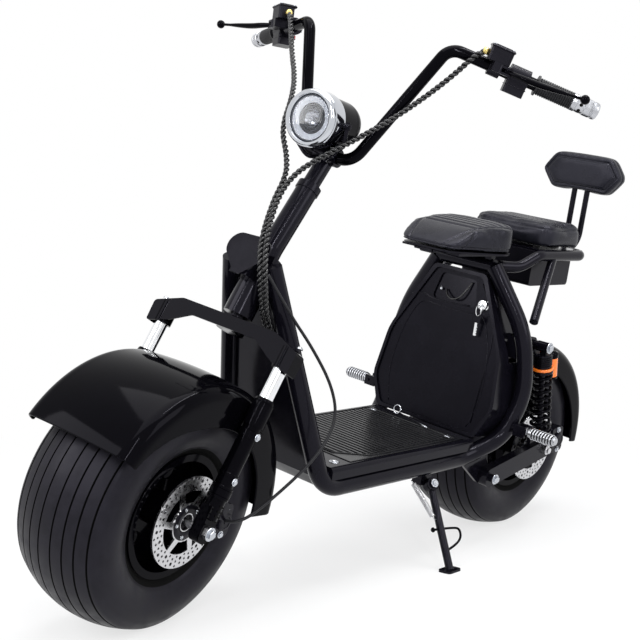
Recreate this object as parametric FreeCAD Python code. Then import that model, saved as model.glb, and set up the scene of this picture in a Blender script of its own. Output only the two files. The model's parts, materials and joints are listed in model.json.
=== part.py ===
import FreeCAD, Part
import math
import os
from FreeCAD import Placement, Rotation, Vector

# Electric scooter with two fat tyres, parked on its side stand.
# Millimetres. X points forward, Y to the rider's left, Z up.
# Every piece is drawn on an upright scooter that steers straight ahead, with X = 0
# midway between the axles and Z = 0 on the floor. The last section turns the front
# end about its steering axis and leans the whole scooter onto its stand.

# Stance
WHEEL_BASE = 1100.0
RAKE = 27.4
AXLE_LEAD = 10.0
STEER_REST = 9.0
LEAN_REST = 10.0

# Fits
FIT = 0.3
PIN_FIT = 0.2

# Tyres and wheels
TYRE_RADIUS = 226.0
TYRE_WIDTH = 204.0
CROWN_RADIUS = 205.0
TREAD_WIDTH = 176.0
TYRE_WALL = 10.0
SIDEWALL_DROP = 61.0
SIDEWALL_WIDEST = TYRE_RADIUS - SIDEWALL_DROP
RIM_SEAT = 108.0
RIM_LIP = 116.0
RIM_WIDTH = 168.0
RIM_GAUGE = 5.0
BEAD_WIDTH = 12.0
HUB_RADIUS = 32.0
WEB_GAUGE = 6.0
WEB_OFFSET = 20.0
WEB_HOLES = 6
WEB_HOLE_RADIUS = 16.0
MOTOR_RADIUS = 88.0
MOTOR_WIDTH = 190.0
AXLE_RADIUS = 7.0
AXLE_NUT_RADIUS = 12.0
AXLE_NUT_DEPTH = 9.0
AXLE_THREAD = 6.0

# Brake discs
DISC_RADIUS = 85.0
DISC_BAND = 26.0
DISC_GAUGE = 4.0
DISC_ARMS = 6
DISC_HOLES = 20
DISC_HOLE_RADIUS = 3.2
DISC_CARRIER = 36.0
CALIPER_WIDTH = 44.0
FRONT_DISC_Y = 107.0
REAR_DISC_Y = 126.0

# Fork
LEG_SPACING = 286.0
STANCHION_RADIUS = 13.0
LOWER_RADIUS = 17.0
COLLAR_RADIUS = 20.0
LEG_TOP = 350.0
LOWER_TOP = 242.0
COLLAR_HEIGHT = 44.0
LUG_LENGTH = 44.0
LUG_GAUGE = 22.0
BRIDGE_TOP = 368.0
BRIDGE_DROP = 27.0
BRIDGE_END = 66.0
BRIDGE_HALF_WIDTH = 168.0
BRIDGE_FRONT = 17.0
BRIDGE_BACK = 14.0
BRIDGE_GAUGE = 4.0

# Steering head, stem and handlebar
HEAD_RADIUS = 29.0
HEAD_BOTTOM = 375.0
HEAD_TOP = 498.0
STEERER_RADIUS = 15.0
STEM_RADIUS = 22.0
STEM_NECK_RADIUS = 17.0
STEM_NECK_LENGTH = 72.0
STEM_FOOT = 504.0
CLAMP_LENGTH = 50.0
CLAMP_WALL = 6.5
BAR_RADIUS = 11.5
BAR_LOW_X = 178.0
BAR_LOW_Z = 860.0
BAR_LOW_Y = 56.0
BAR_LOW_BEND = 40.0
BAR_HIGH_X = 93.0
BAR_HIGH_Y = 163.0
BAR_HIGH_Z = 1103.0
BAR_HIGH_BEND = 32.0
BAR_END_X = -60.0
BAR_END_Y = 398.0
BAR_END_Z = 1045.0
GRIP_RADIUS = 16.5
GRIP_LENGTH = 112.0
GRIP_CAP_LENGTH = 16.0
PERCH_Y = 238.0
SWITCH_Y = 277.0
LEVER_GAUGE = 7.0
LEVER_END = (46.0, 428.0, 1060.0)

# Headlamp
LAMP_FACE_X = 268.0
LAMP_Z = 929.0
LAMP_PITCH = 4.0
LAMP_RADIUS = 54.0
BEZEL_DEPTH = 34.0
BEZEL_GAUGE = 3.0
BEZEL_FACE = 9.0
BEZEL_LAP = 14.0
BUCKET_DEPTH = 112.0
BUCKET_TAPER = 6.0
LAMP_STAY_RADIUS = 4.0

# Frame
TUBE_RADIUS = 19.0
RAIL_Z = 236.0
RAIL_Y = 130.0
CROSS_TUBES_X = (150.0, -232.0)
CROSS_TUBE_RADIUS = 11.0
DECK_BACK_X = -262.0
DECK_FRONT_X = 206.0
DECK_TOP = 281.0
DECK_DEPTH = 25.0
DECK_HALF_WIDTH = 147.0
MAT_GAUGE = 3.0
MAT_FRONT_X = 142.0
MAT_BACK_X = -240.0
MAT_HALF_WIDTH = 134.0
FLOOR_BOX_BOTTOM = 212.0
FLOOR_BOX_FRONT = 160.0
PANEL_SPAN = (0.05, 0.86)
SHEET = 3.0

# Seat tower
TOWER_FOOT_X = -266.0
TOWER_LEAN = 8.0
TOWER_DEPTH = 96.0
TOWER_TOP = 640.0
PANEL_RECESS = 9.0
PANEL_RIM = 8.0
PANEL_GAUGE = 4.0
LOCK_Y = 82.0
LOCK_Z = 572.0
TYRE_ROOM = 20.0

# Saddle, passenger seat and backrest
SADDLE_FRONT_X = -163.0
SADDLE_BACK_X = -390.0
SADDLE_BOTTOM = 684.0
SADDLE_TOP = 755.0
SADDLE_NOSE = 702.0
SADDLE_NOSE_X = -226.0
SADDLE_NOSE_TOP = 738.0
PAN_GAUGE = 4.0
HINGE_PIN = 3.5
SADDLE_FRONT_WIDTH = 150.0
SADDLE_BACK_WIDTH = 252.0
PILLION_FRONT_X = -480.0
PILLION_BACK_X = -648.0
PILLION_HALF_WIDTH = 112.0
PILLION_BOTTOM = 702.0
PILLION_TOP = 757.0
RACK_Z = 686.0
RACK_RADIUS = 13.0
RACK_HALF_WIDTH = 110.0
RACK_BACK_X = -655.0
RACK_CORNER = 26.0
BOX_FRONT_X = -458.0
BOX_BACK_X = -628.0
BOX_BOTTOM = 612.0
POST_SPACING = 36.0
POST_RADIUS = 7.0
POST_X = -784.0
BACKREST_Z = 876.0
BACKREST_WIDTH = 232.0
BACKREST_HEIGHT = 96.0
BACKREST_DEPTH = 42.0
POST_SINK = 22.0

# Rear end
ARM_Y = 150.0
ARM_GAUGE = 22.0
ARM_HEIGHT = 44.0
PIVOT_X = -337.0
PIVOT_Z = 186.0
PIVOT_PLATE_FRONT_X = -250.0
PIVOT_PLATE_TOP_Z = 262.0
SHOCK_Y = 166.0
SHOCK_TOP_X = -452.0
SHOCK_TOP_Z = 486.0
SHOCK_FOOT_X = -508.0
SHOCK_FOOT_Z = 262.0
SPRING_RADIUS = 25.0
SPRING_WIRE = 4.0
SPRING_TURNS = 9
SHOCK_EYE = 12.0
SHOCK_EYE_WIDTH = 26.0
SHOCK_PIN = 6.0
SHOCK_BODY = 21.0
SHOCK_BODY_LENGTH = 46.0
SHOCK_NECK = 16.0
RESERVOIR_RADIUS = 13.0
RESERVOIR_BACK = 41.0
BRACKET_GAUGE = 8.0
SHOCK_SLOT_HALF = 34.0
SHOCK_PLATE_FRONT_X = -352.0
SHOCK_FOOT_LENGTH = 36.0
PEG_X = -341.0
PEG_Z = 314.0
PEG_HINGE_Y = 222.0
PEG_LENGTH = 78.0
PEG_RADIUS = 11.0
PEG_PIN = 3.5

# Fenders
FRONT_FENDER_GAP = 29.0
FRONT_FENDER_RADIUS = TYRE_RADIUS + FRONT_FENDER_GAP
FRONT_FENDER_HALF_WIDTH = 122.0
FRONT_FENDER_START = 39.0
FRONT_FENDER_END = 188.0
REAR_FENDER_GAP = 23.0
REAR_FENDER_RADIUS = TYRE_RADIUS + REAR_FENDER_GAP
REAR_FENDER_HALF_WIDTH = 118.0
REAR_FENDER_START = 64.0
REAR_FENDER_END = 185.0
FENDER_SKIRT = 46.0
FENDER_GAUGE = 2.5

# Side stand
STAND_X = -135.0
STAND_Y = 140.0
STAND_Z = 194.0
STAND_FOOT_X = -113.0
STAND_FOOT_OUT = 200.0
STAND_RADIUS = 8.5
STAND_PAD = 22.0

# Range of the side stand's swing, seen along its hinge
STAND_FOLD_DIRECTION = (-0.93, 0.33, -0.15)

# Cables, with the loom's way past the frame
LOOM_RADIUS = 9.0
LOOM_STRAND_RADIUS = 6.0
HOSE_RADIUS = 3.0
LOOM_AT_FRAME = ((371, 42, 702), (387, 66, 650), (366, 56, 602), (345, 49, 552), (294, 46, 490))

FRONT_AXLE = Vector(WHEEL_BASE / 2, 0, TYRE_RADIUS)
REAR_AXLE = Vector(-WHEEL_BASE / 2, 0, TYRE_RADIUS)
LEG_Y = LEG_SPACING / 2
SIN_RAKE = math.sin(math.radians(RAKE))
COS_RAKE = math.cos(math.radians(RAKE))
STEER_AXIS = Vector(-SIN_RAKE, 0, COS_RAKE)
FORK_FORWARD = Vector(COS_RAKE, 0, SIN_RAKE)
STEER_POINT = FRONT_AXLE - FORK_FORWARD * AXLE_LEAD
Y_AXIS = Vector(0, 1, 0)
Z_AXIS = Vector(0, 0, 1)


def fork(forward, left, up):
    """A point of the fork: ahead of the legs, to the left, and up along the legs."""
    return FRONT_AXLE + FORK_FORWARD * forward + Vector(0, left, 0) + STEER_AXIS * up


def mirror(shape):
    return shape.mirror(Vector(0, 0, 0), Y_AXIS)


def both(shape):
    """A piece and its mirror image on the right side, as two solids."""
    return Part.makeCompound([shape, mirror(shape)])


def fused(shapes):
    shapes = list(shapes)
    whole = shapes[0].multiFuse(shapes[1:]) if len(shapes) > 1 else shapes[0]
    return whole.removeSplitter()


def cut(shape, tools):
    for tool in tools:
        shape = shape.cut(tool)
    return shape


def rod(start, end, radius):
    start, end = Vector(start), Vector(end)
    run = end - start
    return Part.makeCylinder(radius, run.Length, start, run)


def pipe(start, end, radius, bore):
    return rod(start, end, radius).cut(rod(start, end, bore))


def ball(centre, radius):
    return Part.makeSphere(radius, Vector(centre))


def block(low, high):
    low, high = Vector(low), Vector(high)
    size = high - low
    return Part.makeBox(size.x, size.y, size.z, low)


def bent_rod(points, radius, bends):
    """A round bar through the points, with one bend radius for each inner point."""
    points = [Vector(p) for p in points]
    edges = []
    here = points[0]
    for before, corner, after, bend in zip(points, points[1:], points[2:], bends):
        way_in = (corner - before).normalize()
        way_out = (after - corner).normalize()
        turn = way_in.getAngle(way_out)
        reach = bend * math.tan(turn / 2)
        start = corner - way_in * reach
        end = corner + way_out * reach
        inward = (way_out - way_in).normalize()
        middle = corner + inward * (bend / math.cos(turn / 2) - bend)
        edges.append(Part.LineSegment(here, start).toShape())
        edges.append(Part.Arc(start, middle, end).toShape())
        here = end
    edges.append(Part.LineSegment(here, points[-1]).toShape())
    path = Part.Wire(edges)
    circle = Part.Wire([Part.Circle(points[0], points[1] - points[0], radius).toShape()])
    return path.makePipeShell([circle], True, False)


def outline_face(outline):
    """A flat face from (u, v) corners; (u, v, mid_u, mid_v) ends an arc by its middle."""
    edges = []
    points = [Vector(p[0], p[1], 0) for p in outline]
    for index, spec in enumerate(outline):
        start, end = points[index - 1], points[index]
        if len(spec) == 4:
            edges.append(Part.Arc(start, Vector(spec[2], spec[3], 0), end).toShape())
        elif (end - start).Length > 1e-6:
            edges.append(Part.LineSegment(start, end).toShape())
    return Part.Face(Part.Wire(edges))


def rounded(corners):
    """An outline from (u, v, radius) corners, each radius as an arc."""
    outline = []
    count = len(corners)
    for index in range(count):
        u, v, radius = corners[index]
        corner = Vector(u, v, 0)
        before = Vector(*corners[index - 1][:2], 0)
        after = Vector(*corners[(index + 1) % count][:2], 0)
        if radius == 0:
            outline.append((u, v))
            continue
        way_in = (corner - before).normalize()
        way_out = (after - corner).normalize()
        turn = way_in.getAngle(way_out)
        reach = radius * math.tan(turn / 2)
        start = corner - way_in * reach
        end = corner + way_out * reach
        inward = (way_out - way_in).normalize()
        middle = corner + inward * (radius / math.cos(turn / 2) - radius)
        outline.append((start.x, start.y))
        outline.append((end.x, end.y, middle.x, middle.y))
    return outline


def frame(origin, x_way, y_way):
    """A placement whose X and Y run the given ways."""
    x_way, y_way = Vector(x_way), Vector(y_way)
    return Placement(Vector(origin), Rotation(x_way, y_way, x_way.cross(y_way), "XYZ"))


def slab(outline, depth, place):
    """An outline drawn in the placement's XY plane and raised along its Z."""
    solid = outline_face(outline).extrude(Vector(0, 0, depth))
    solid.Placement = place
    return solid


def side_slab(outline, y_low, y_high):
    """An (x, z) outline raised across the scooter from y_low to y_high."""
    return slab(outline, y_high - y_low, frame((0, y_high, 0), (1, 0, 0), (0, 0, 1)))


def turned(outline, centre, way):
    """A ring from (radius, height) corners, turned about an axis through the centre."""
    solid = outline_face(outline).revolve(Vector(0, 0, 0), Y_AXIS, 360)
    way = Vector(way)
    solid.Placement = Placement(Vector(centre), Rotation(Y_AXIS, way))
    return solid


def fork_frame(forward=0.0, left=0.0, up=0.0):
    """Local X across to the left, local Y up the legs, local Z ahead of the legs."""
    return frame(fork(forward, left, up), Y_AXIS, STEER_AXIS)


# Wheels

def tyre(axle):
    half = TYRE_WIDTH / 2
    tread = TREAD_WIDTH / 2
    inner_tread = tread - TYRE_WALL
    hoop = TYRE_RADIUS - CROWN_RADIUS
    shoulder = hoop + math.sqrt(CROWN_RADIUS ** 2 - tread ** 2)
    inner_shoulder = hoop + math.sqrt((CROWN_RADIUS - TYRE_WALL) ** 2 - inner_tread ** 2)
    seat = RIM_SEAT + FIT
    bead = RIM_WIDTH / 2 - RIM_GAUGE - FIT
    toe = bead - BEAD_WIDTH
    outline = [
        (seat, -bead),
        (RIM_LIP + 3, -bead),
        (shoulder, -tread, SIDEWALL_WIDEST, -half),
        (shoulder, tread, TYRE_RADIUS, 0),
        (RIM_LIP + 3, bead, SIDEWALL_WIDEST, half),
        (seat, bead),
        (seat, toe),
        (inner_shoulder, inner_tread, SIDEWALL_WIDEST, half - TYRE_WALL),
        (inner_shoulder, -inner_tread, TYRE_RADIUS - TYRE_WALL, 0),
        (seat, -toe, SIDEWALL_WIDEST, TYRE_WALL - half),
    ]
    return turned(outline, axle, Y_AXIS)


def rim_barrel(axle):
    half = RIM_WIDTH / 2
    inner = RIM_SEAT - RIM_GAUGE
    outline = [
        (inner, -half), (RIM_LIP, -half), (RIM_LIP, RIM_GAUGE - half),
        (RIM_SEAT, RIM_GAUGE - half), (RIM_SEAT, half - RIM_GAUGE),
        (RIM_LIP, half - RIM_GAUGE), (RIM_LIP, half), (inner, half),
    ]
    return turned(outline, axle, Y_AXIS)


def front_rim():
    carrier = FRONT_DISC_Y - DISC_GAUGE / 2
    hub_right = -RIM_WIDTH / 2
    web_low = WEB_OFFSET
    web_high = WEB_OFFSET + WEB_GAUGE
    bore = AXLE_RADIUS + PIN_FIT
    hub = turned([
        (bore, hub_right), (HUB_RADIUS, hub_right), (HUB_RADIUS, web_low),
        (RIM_SEAT - RIM_GAUGE, web_low), (RIM_SEAT - RIM_GAUGE, web_high),
        (HUB_RADIUS, web_high), (HUB_RADIUS, carrier - WEB_GAUGE),
        (DISC_CARRIER, carrier - WEB_GAUGE), (DISC_CARRIER, carrier), (bore, carrier),
    ], FRONT_AXLE, Y_AXIS)
    ring = (HUB_RADIUS + RIM_SEAT - RIM_GAUGE) / 2
    holes = []
    for index in range(WEB_HOLES):
        angle = 2 * math.pi * index / WEB_HOLES
        centre = FRONT_AXLE + Vector(math.cos(angle), 0, math.sin(angle)) * ring
        low = centre + Y_AXIS * (web_low - 1)
        holes.append(rod(low, low + Y_AXIS * (WEB_GAUGE + 2), WEB_HOLE_RADIUS))
    return fused([rim_barrel(FRONT_AXLE), cut(hub, holes)])


def rear_rim():
    half = MOTOR_WIDTH / 2
    carrier = REAR_DISC_Y - DISC_GAUGE / 2
    bore = AXLE_RADIUS + PIN_FIT
    chamfer = 12.0
    motor = turned([
        (bore, -half - 8), (HUB_RADIUS, -half - 8), (HUB_RADIUS, -half),
        (MOTOR_RADIUS - chamfer, -half), (MOTOR_RADIUS, chamfer - half),
        (MOTOR_RADIUS, -20), (RIM_SEAT - RIM_GAUGE, -20), (RIM_SEAT - RIM_GAUGE, 20),
        (MOTOR_RADIUS, 20), (MOTOR_RADIUS, half - chamfer), (MOTOR_RADIUS - chamfer, half),
        (DISC_CARRIER, half), (DISC_CARRIER, carrier), (bore, carrier),
    ], REAR_AXLE, Y_AXIS)
    return fused([rim_barrel(REAR_AXLE), motor])


def brake_disc(axle, middle_y):
    low = axle + Y_AXIS * (middle_y - DISC_GAUGE / 2)
    high = low + Y_AXIS * DISC_GAUGE
    band_inner = DISC_RADIUS - DISC_BAND
    band = pipe(low, high, DISC_RADIUS, band_inner)
    centre = pipe(low, high, DISC_CARRIER, AXLE_RADIUS + PIN_FIT + 8)
    arms = []
    place = frame(high, (1, 0, 0), (0, 0, 1))
    for index in range(DISC_ARMS):
        arm = slab([(DISC_CARRIER - 3, -6), (band_inner + 3, 4), (band_inner + 3, 15),
                    (DISC_CARRIER - 3, 8)], DISC_GAUGE, Placement())
        arm.rotate(Vector(0, 0, 0), Z_AXIS, 360.0 * index / DISC_ARMS)
        arm.Placement = place.multiply(arm.Placement)
        arms.append(arm)
    holes = []
    for index in range(DISC_HOLES):
        angle = 2 * math.pi * index / DISC_HOLES
        ring = band_inner + DISC_BAND * (0.33 if index % 2 else 0.68)
        centre_point = low + Vector(math.cos(angle), 0, math.sin(angle)) * ring
        holes.append(rod(centre_point - Y_AXIS, centre_point + Y_AXIS * (DISC_GAUGE + 1),
                         DISC_HOLE_RADIUS))
    return cut(fused([band, centre] + arms), [Part.makeCompound(holes)])


def axle_bar(axle, reach):
    """The axle with a nut on each end; reach is where the nuts bear."""
    end = Y_AXIS * (reach + AXLE_NUT_DEPTH + AXLE_THREAD)
    bar = rod(axle - end, axle + end, AXLE_RADIUS)
    nuts = []
    for side in (-1, 1):
        face = axle + Y_AXIS * side * reach
        nut = slab([(AXLE_NUT_RADIUS * math.cos(a), AXLE_NUT_RADIUS * math.sin(a))
                    for a in (math.pi / 3 * i for i in range(6))],
                   AXLE_NUT_DEPTH, frame(face, (1, 0, 0), (0, 0, -side)))
        nuts.append(nut)
    return fused([bar] + nuts)


# Fork

def fork_lowers():
    bore = STANCHION_RADIUS + PIN_FIT
    lug_y = LUG_GAUGE / 2
    leg = rod(fork(0, LEG_Y, LUG_LENGTH / 2), fork(0, LEG_Y, LOWER_TOP - COLLAR_HEIGHT),
              LOWER_RADIUS)
    collar = rod(fork(0, LEG_Y, LOWER_TOP - COLLAR_HEIGHT), fork(0, LEG_Y, LOWER_TOP),
                 COLLAR_RADIUS)
    ring = rod(fork(0, LEG_Y, 66), fork(0, LEG_Y, 78), COLLAR_RADIUS)
    lug = slab(rounded([(-16, -22, 15), (16, -22, 15), (19, LUG_LENGTH, 0),
                        (-19, LUG_LENGTH, 0)]), LUG_GAUGE,
               frame(fork(0, LEG_Y + lug_y, 0), FORK_FORWARD, STEER_AXIS))
    socket = rod(fork(0, LEG_Y, LUG_LENGTH), fork(0, LEG_Y, LOWER_TOP + 1), bore)
    axle_hole = rod(FRONT_AXLE + Y_AXIS * (LEG_Y - LUG_GAUGE),
                    FRONT_AXLE + Y_AXIS * (LEG_Y + LUG_GAUGE), AXLE_RADIUS)
    stay = slab(rounded([(-70, LOWER_TOP - COLLAR_HEIGHT, 0), (-10, LOWER_TOP - 34, 0),
                         (-10, LOWER_TOP - 8, 0), (-66, LOWER_TOP - 30, 0)]), 4,
                frame(fork(0, FRONT_FENDER_HALF_WIDTH + 4 + FIT, 0), FORK_FORWARD, STEER_AXIS))
    body = fused([leg, collar, ring, lug, stay])
    return both(cut(body, [socket, axle_hole]))


def fork_stanchions():
    return both(rod(fork(0, LEG_Y, LUG_LENGTH + 20), fork(0, LEG_Y, LEG_TOP),
                    STANCHION_RADIUS))


def fork_bridge():
    """The pressed arch over the tyre that clamps both legs and the steerer."""
    half = BRIDGE_HALF_WIDTH
    arch = BRIDGE_TOP - BRIDGE_DROP
    low = BRIDGE_TOP - BRIDGE_END
    corners = [
        (-half, low, 4), (-half + 46, low + 14, 18), (-half + 92, arch, 18),
        (half - 92, arch, 18), (half - 46, low + 14, 18), (half, low, 4),
        (half + 2, BRIDGE_TOP - 24, 8), (half - 58, BRIDGE_TOP - 2, 24),
        (58 - half, BRIDGE_TOP - 2, 24), (-half - 2, BRIDGE_TOP - 24, 8),
    ]
    depth = BRIDGE_FRONT + BRIDGE_BACK
    whole = slab(rounded(corners), depth, fork_frame(-BRIDGE_BACK))
    g = BRIDGE_GAUGE
    inner = [
        (g - half, low - 5, 0), (half - g, low - 5, 0), (half - g, BRIDGE_TOP - 25, 6),
        (half - 59, BRIDGE_TOP - 2 - g, 20), (59 - half, BRIDGE_TOP - 2 - g, 20),
        (g - half, BRIDGE_TOP - 25, 6),
    ]
    pocket = slab(rounded(inner), depth, fork_frame(-BRIDGE_BACK - g))
    shell = whole.cut(pocket)
    clamp_radius = STANCHION_RADIUS + 5
    clamps = []
    for side in (-1, 1):
        clamp = rod(fork(0, side * LEG_Y, low + 6), fork(0, side * LEG_Y, LEG_TOP), clamp_radius)
        web = slab([(-clamp_radius, 0), (clamp_radius, 0), (clamp_radius, 30),
                    (-clamp_radius, 30)], BRIDGE_FRONT - 2,
                   fork_frame(0, side * LEG_Y, low + 12))
        clamps += [clamp, web]
    boss = rod(fork(-AXLE_LEAD, 0, BRIDGE_TOP - BRIDGE_DROP), fork(-AXLE_LEAD, 0, BRIDGE_TOP + 1),
               HEAD_RADIUS - 2)
    boss_keep = slab([(-60, 300), (60, 300), (60, 380), (-60, 380)], 80, fork_frame(-60))
    front_trim = slab([(-60, 300), (60, 300), (60, 380), (-60, 380)], 60,
                      fork_frame(BRIDGE_FRONT - 1))
    boss = boss.common(boss_keep).cut(front_trim)
    sockets = [rod(fork(0, side * LEG_Y, low - 5), fork(0, side * LEG_Y, LEG_TOP + FIT),
                   STANCHION_RADIUS + PIN_FIT) for side in (-1, 1)]
    steerer_hole = rod(fork(-AXLE_LEAD, 0, low), fork(-AXLE_LEAD, 0, BRIDGE_TOP + 5),
                       STEERER_RADIUS)
    return cut(fused([shell, boss] + clamps), sockets + [steerer_hole])


def clamp_centre():
    return Vector(BAR_LOW_X, 0, BAR_LOW_Z)


def stem():
    """Steerer inside the head tube, then the leaning stem up to the bar clamp."""
    foot = fork(-AXLE_LEAD, 0, STEM_FOOT)
    knee = fork(-AXLE_LEAD, 0, STEM_FOOT + 12)
    top = clamp_centre()
    way = (top - knee).normalize()
    shoulder = top - way * STEM_NECK_LENGTH
    steerer = rod(fork(-AXLE_LEAD, 0, BRIDGE_TOP - BRIDGE_DROP), foot, STEERER_RADIUS)
    knuckle = rod(fork(-AXLE_LEAD, 0, HEAD_TOP + FIT), knee, STEM_RADIUS)
    joint = ball(knee, STEM_RADIUS)
    tube = rod(knee, shoulder, STEM_RADIUS)
    collar = rod(shoulder - way * 14, shoulder, STEM_RADIUS + 2)
    neck_tube = rod(shoulder - way * 14, top, STEM_NECK_RADIUS)
    bolt_at = shoulder - way * 7
    bolt = rod(bolt_at - FORK_FORWARD * (STEM_RADIUS - 2), bolt_at - FORK_FORWARD * (STEM_RADIUS + 9), 5)
    jaw_room = rod(top - Y_AXIS * CLAMP_LENGTH, top + Y_AXIS * CLAMP_LENGTH,
                   BAR_RADIUS + CLAMP_WALL)
    return fused([steerer, knuckle, joint, tube, collar, neck_tube, bolt]).cut(jaw_room)


def bar_clamp():
    """The clamp round the handlebar and the two stays that carry the headlamp."""
    half = CLAMP_LENGTH / 2
    centre = clamp_centre()
    outer = BAR_RADIUS + CLAMP_WALL
    jaw = rod(centre - Y_AXIS * half, centre + Y_AXIS * half, outer)
    ears = []
    for side in (-1, 1):
        y = side * (half - 7)
        ears.append(rod(centre + Vector(-outer - 3, y, -9), centre + Vector(-outer - 3, y, 9), 6))
        ears.append(block((BAR_LOW_X - outer - 3, min(y - 6, y + 6), BAR_LOW_Z - 6),
                          (BAR_LOW_X - 6, max(y - 6, y + 6), BAR_LOW_Z + 6)))
    hole = rod(centre - Y_AXIS * (half + 5), centre + Y_AXIS * (half + 5),
               BAR_RADIUS + PIN_FIT)
    face, way = lamp_place()
    pivot_at = face - way * (BEZEL_DEPTH + 12)
    stay_y = LAMP_RADIUS + LAMP_STAY_RADIUS + 1
    for side in (-1, 1):
        y = side * (half - 6)
        ears.append(bent_rod([
            (BAR_LOW_X + outer - 4, y, BAR_LOW_Z - 6),
            (pivot_at.x, y, BAR_LOW_Z - 6),
            (pivot_at.x, side * stay_y, BAR_LOW_Z + 28),
            (pivot_at.x, side * stay_y, pivot_at.z + 8)], LAMP_STAY_RADIUS, (14, 18)))
        ears.append(rod((pivot_at.x, side * (LAMP_RADIUS - BEZEL_GAUGE + FIT), pivot_at.z),
                        (pivot_at.x, side * (stay_y + LAMP_STAY_RADIUS + 2), pivot_at.z), 6))
    return cut(fused([jaw] + ears), [hole, lamp_room()])


def handlebar():
    left = [
        Vector(BAR_LOW_X, BAR_LOW_Y, BAR_LOW_Z),
        Vector(BAR_HIGH_X, BAR_HIGH_Y, BAR_HIGH_Z),
        Vector(BAR_END_X, BAR_END_Y, BAR_END_Z),
    ]
    right = [Vector(p.x, -p.y, p.z) for p in reversed(left)]
    return bent_rod(right + left, BAR_RADIUS,
                    (BAR_HIGH_BEND, BAR_LOW_BEND, BAR_LOW_BEND, BAR_HIGH_BEND))


def bar_point(y_left):
    """A point on the bar's outer run, by how far left it is."""
    high = Vector(BAR_HIGH_X, BAR_HIGH_Y, BAR_HIGH_Z)
    end = Vector(BAR_END_X, BAR_END_Y, BAR_END_Z)
    return high + (end - high) * ((y_left - BAR_HIGH_Y) / (BAR_END_Y - BAR_HIGH_Y))


BAR_WAY = (Vector(BAR_END_X, BAR_END_Y, BAR_END_Z)
           - Vector(BAR_HIGH_X, BAR_HIGH_Y, BAR_HIGH_Z)).normalize()
BAR_SIDE = BAR_WAY.cross(Z_AXIS).normalize()
BAR_UP = BAR_SIDE.cross(BAR_WAY).normalize()
GRIP_END = Vector(BAR_END_X, BAR_END_Y, BAR_END_Z)
GRIP_START = GRIP_END - BAR_WAY * GRIP_LENGTH


def grips():
    sleeve = pipe(GRIP_START, GRIP_END, GRIP_RADIUS, BAR_RADIUS + PIN_FIT)
    flange = pipe(GRIP_START, GRIP_START + BAR_WAY * 4, GRIP_RADIUS + 3,
                  BAR_RADIUS + PIN_FIT)
    return both(fused([sleeve, flange]))


def grip_caps():
    start = GRIP_END + BAR_WAY * FIT
    cap = rod(start, start + BAR_WAY * GRIP_CAP_LENGTH, GRIP_RADIUS)
    return both(cap)


def lever_pivot():
    return bar_point(PERCH_Y) + BAR_SIDE * 36 + BAR_WAY * 20


def bar_controls():
    """Brake reservoir with its perch, and the switch housing beside the grip."""
    perch_at = bar_point(PERCH_Y)
    perch = rod(perch_at - BAR_WAY * 12, perch_at + BAR_WAY * 12, BAR_RADIUS + 6)
    cup = slab(rounded([(-16, -24, 6), (18, -24, 6), (18, 20, 6), (-16, 20, 6)]), 24,
               frame(perch_at + BAR_SIDE * 24 + BAR_UP * 9, BAR_SIDE, BAR_WAY))
    arm = slab([(0, -11), (44, -9), (44, 9), (0, 11)], 18,
               frame(perch_at - BAR_UP * 8, BAR_SIDE, BAR_WAY))
    fork_block = slab(rounded([(22, 4, 0), (46, 4, 4), (46, 29, 6), (27, 29, 6)]), 16,
                      frame(perch_at - BAR_UP * 8, BAR_SIDE, BAR_WAY))
    housing_at = bar_point(SWITCH_Y)
    housing = rod(housing_at - BAR_WAY * 20, housing_at + BAR_WAY * 20, BAR_RADIUS + 8)
    switch = slab(rounded([(-18, -20, 5), (18, -20, 5), (18, 20, 5), (-18, 20, 5)]), 30,
                  frame(housing_at - BAR_UP * 34, BAR_SIDE, BAR_WAY))
    solid = fused([perch, cup, arm, fork_block, housing, switch])
    hole = rod(bar_point(PERCH_Y - 50), bar_point(SWITCH_Y + 50), BAR_RADIUS + PIN_FIT)
    gap = LEVER_GAUGE / 2 + FIT
    slot = slab([(25, 8), (60, 8), (60, 60), (25, 60)], 2 * gap,
                frame(perch_at - BAR_UP * gap, BAR_SIDE, BAR_WAY))
    pin_at = lever_pivot()
    pin = rod(pin_at - BAR_UP * (gap + 2), pin_at + BAR_UP * (gap + 2), 2.5)
    return both(fused([cut(solid, [hole, slot]), pin]))


def brake_levers():
    start = lever_pivot()
    knee = bar_point(PERCH_Y + 62) + BAR_SIDE * 66
    end = Vector(*LEVER_END)
    blade = bent_rod([start + BAR_WAY * 4, knee, end], LEVER_GAUGE / 2, (120,))
    root = rod(start - BAR_UP * LEVER_GAUGE / 2, start + BAR_UP * LEVER_GAUGE / 2, 8)
    hole = rod(start - BAR_UP * 20, start + BAR_UP * 20, 2.5 + PIN_FIT)
    return both(cut(fused([blade, root, ball(end, 9)]), [hole]))


# Headlamp

def lamp_place():
    pitch = math.radians(LAMP_PITCH)
    return Vector(LAMP_FACE_X, 0, LAMP_Z), Vector(math.cos(pitch), 0, math.sin(pitch))


def lamp_shoulder():
    """How far behind the lamp's face its bucket starts to round off, and its radius there."""
    radius = LAMP_RADIUS - BEZEL_GAUGE - BUCKET_TAPER
    return radius - BEZEL_DEPTH - BUCKET_DEPTH, radius


def lamp_room():
    """The space round the bucket that its stays and clamp keep free."""
    face, way = lamp_place()
    shoulder, radius = lamp_shoulder()
    back = -BEZEL_DEPTH - BUCKET_DEPTH - FIT
    wide = LAMP_RADIUS - BEZEL_GAUGE + FIT
    return turned([(0, back), (radius + FIT, back), (radius + FIT, shoulder), (wide, -BEZEL_DEPTH),
                   (wide, 0), (0, 0)], face, way)


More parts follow.
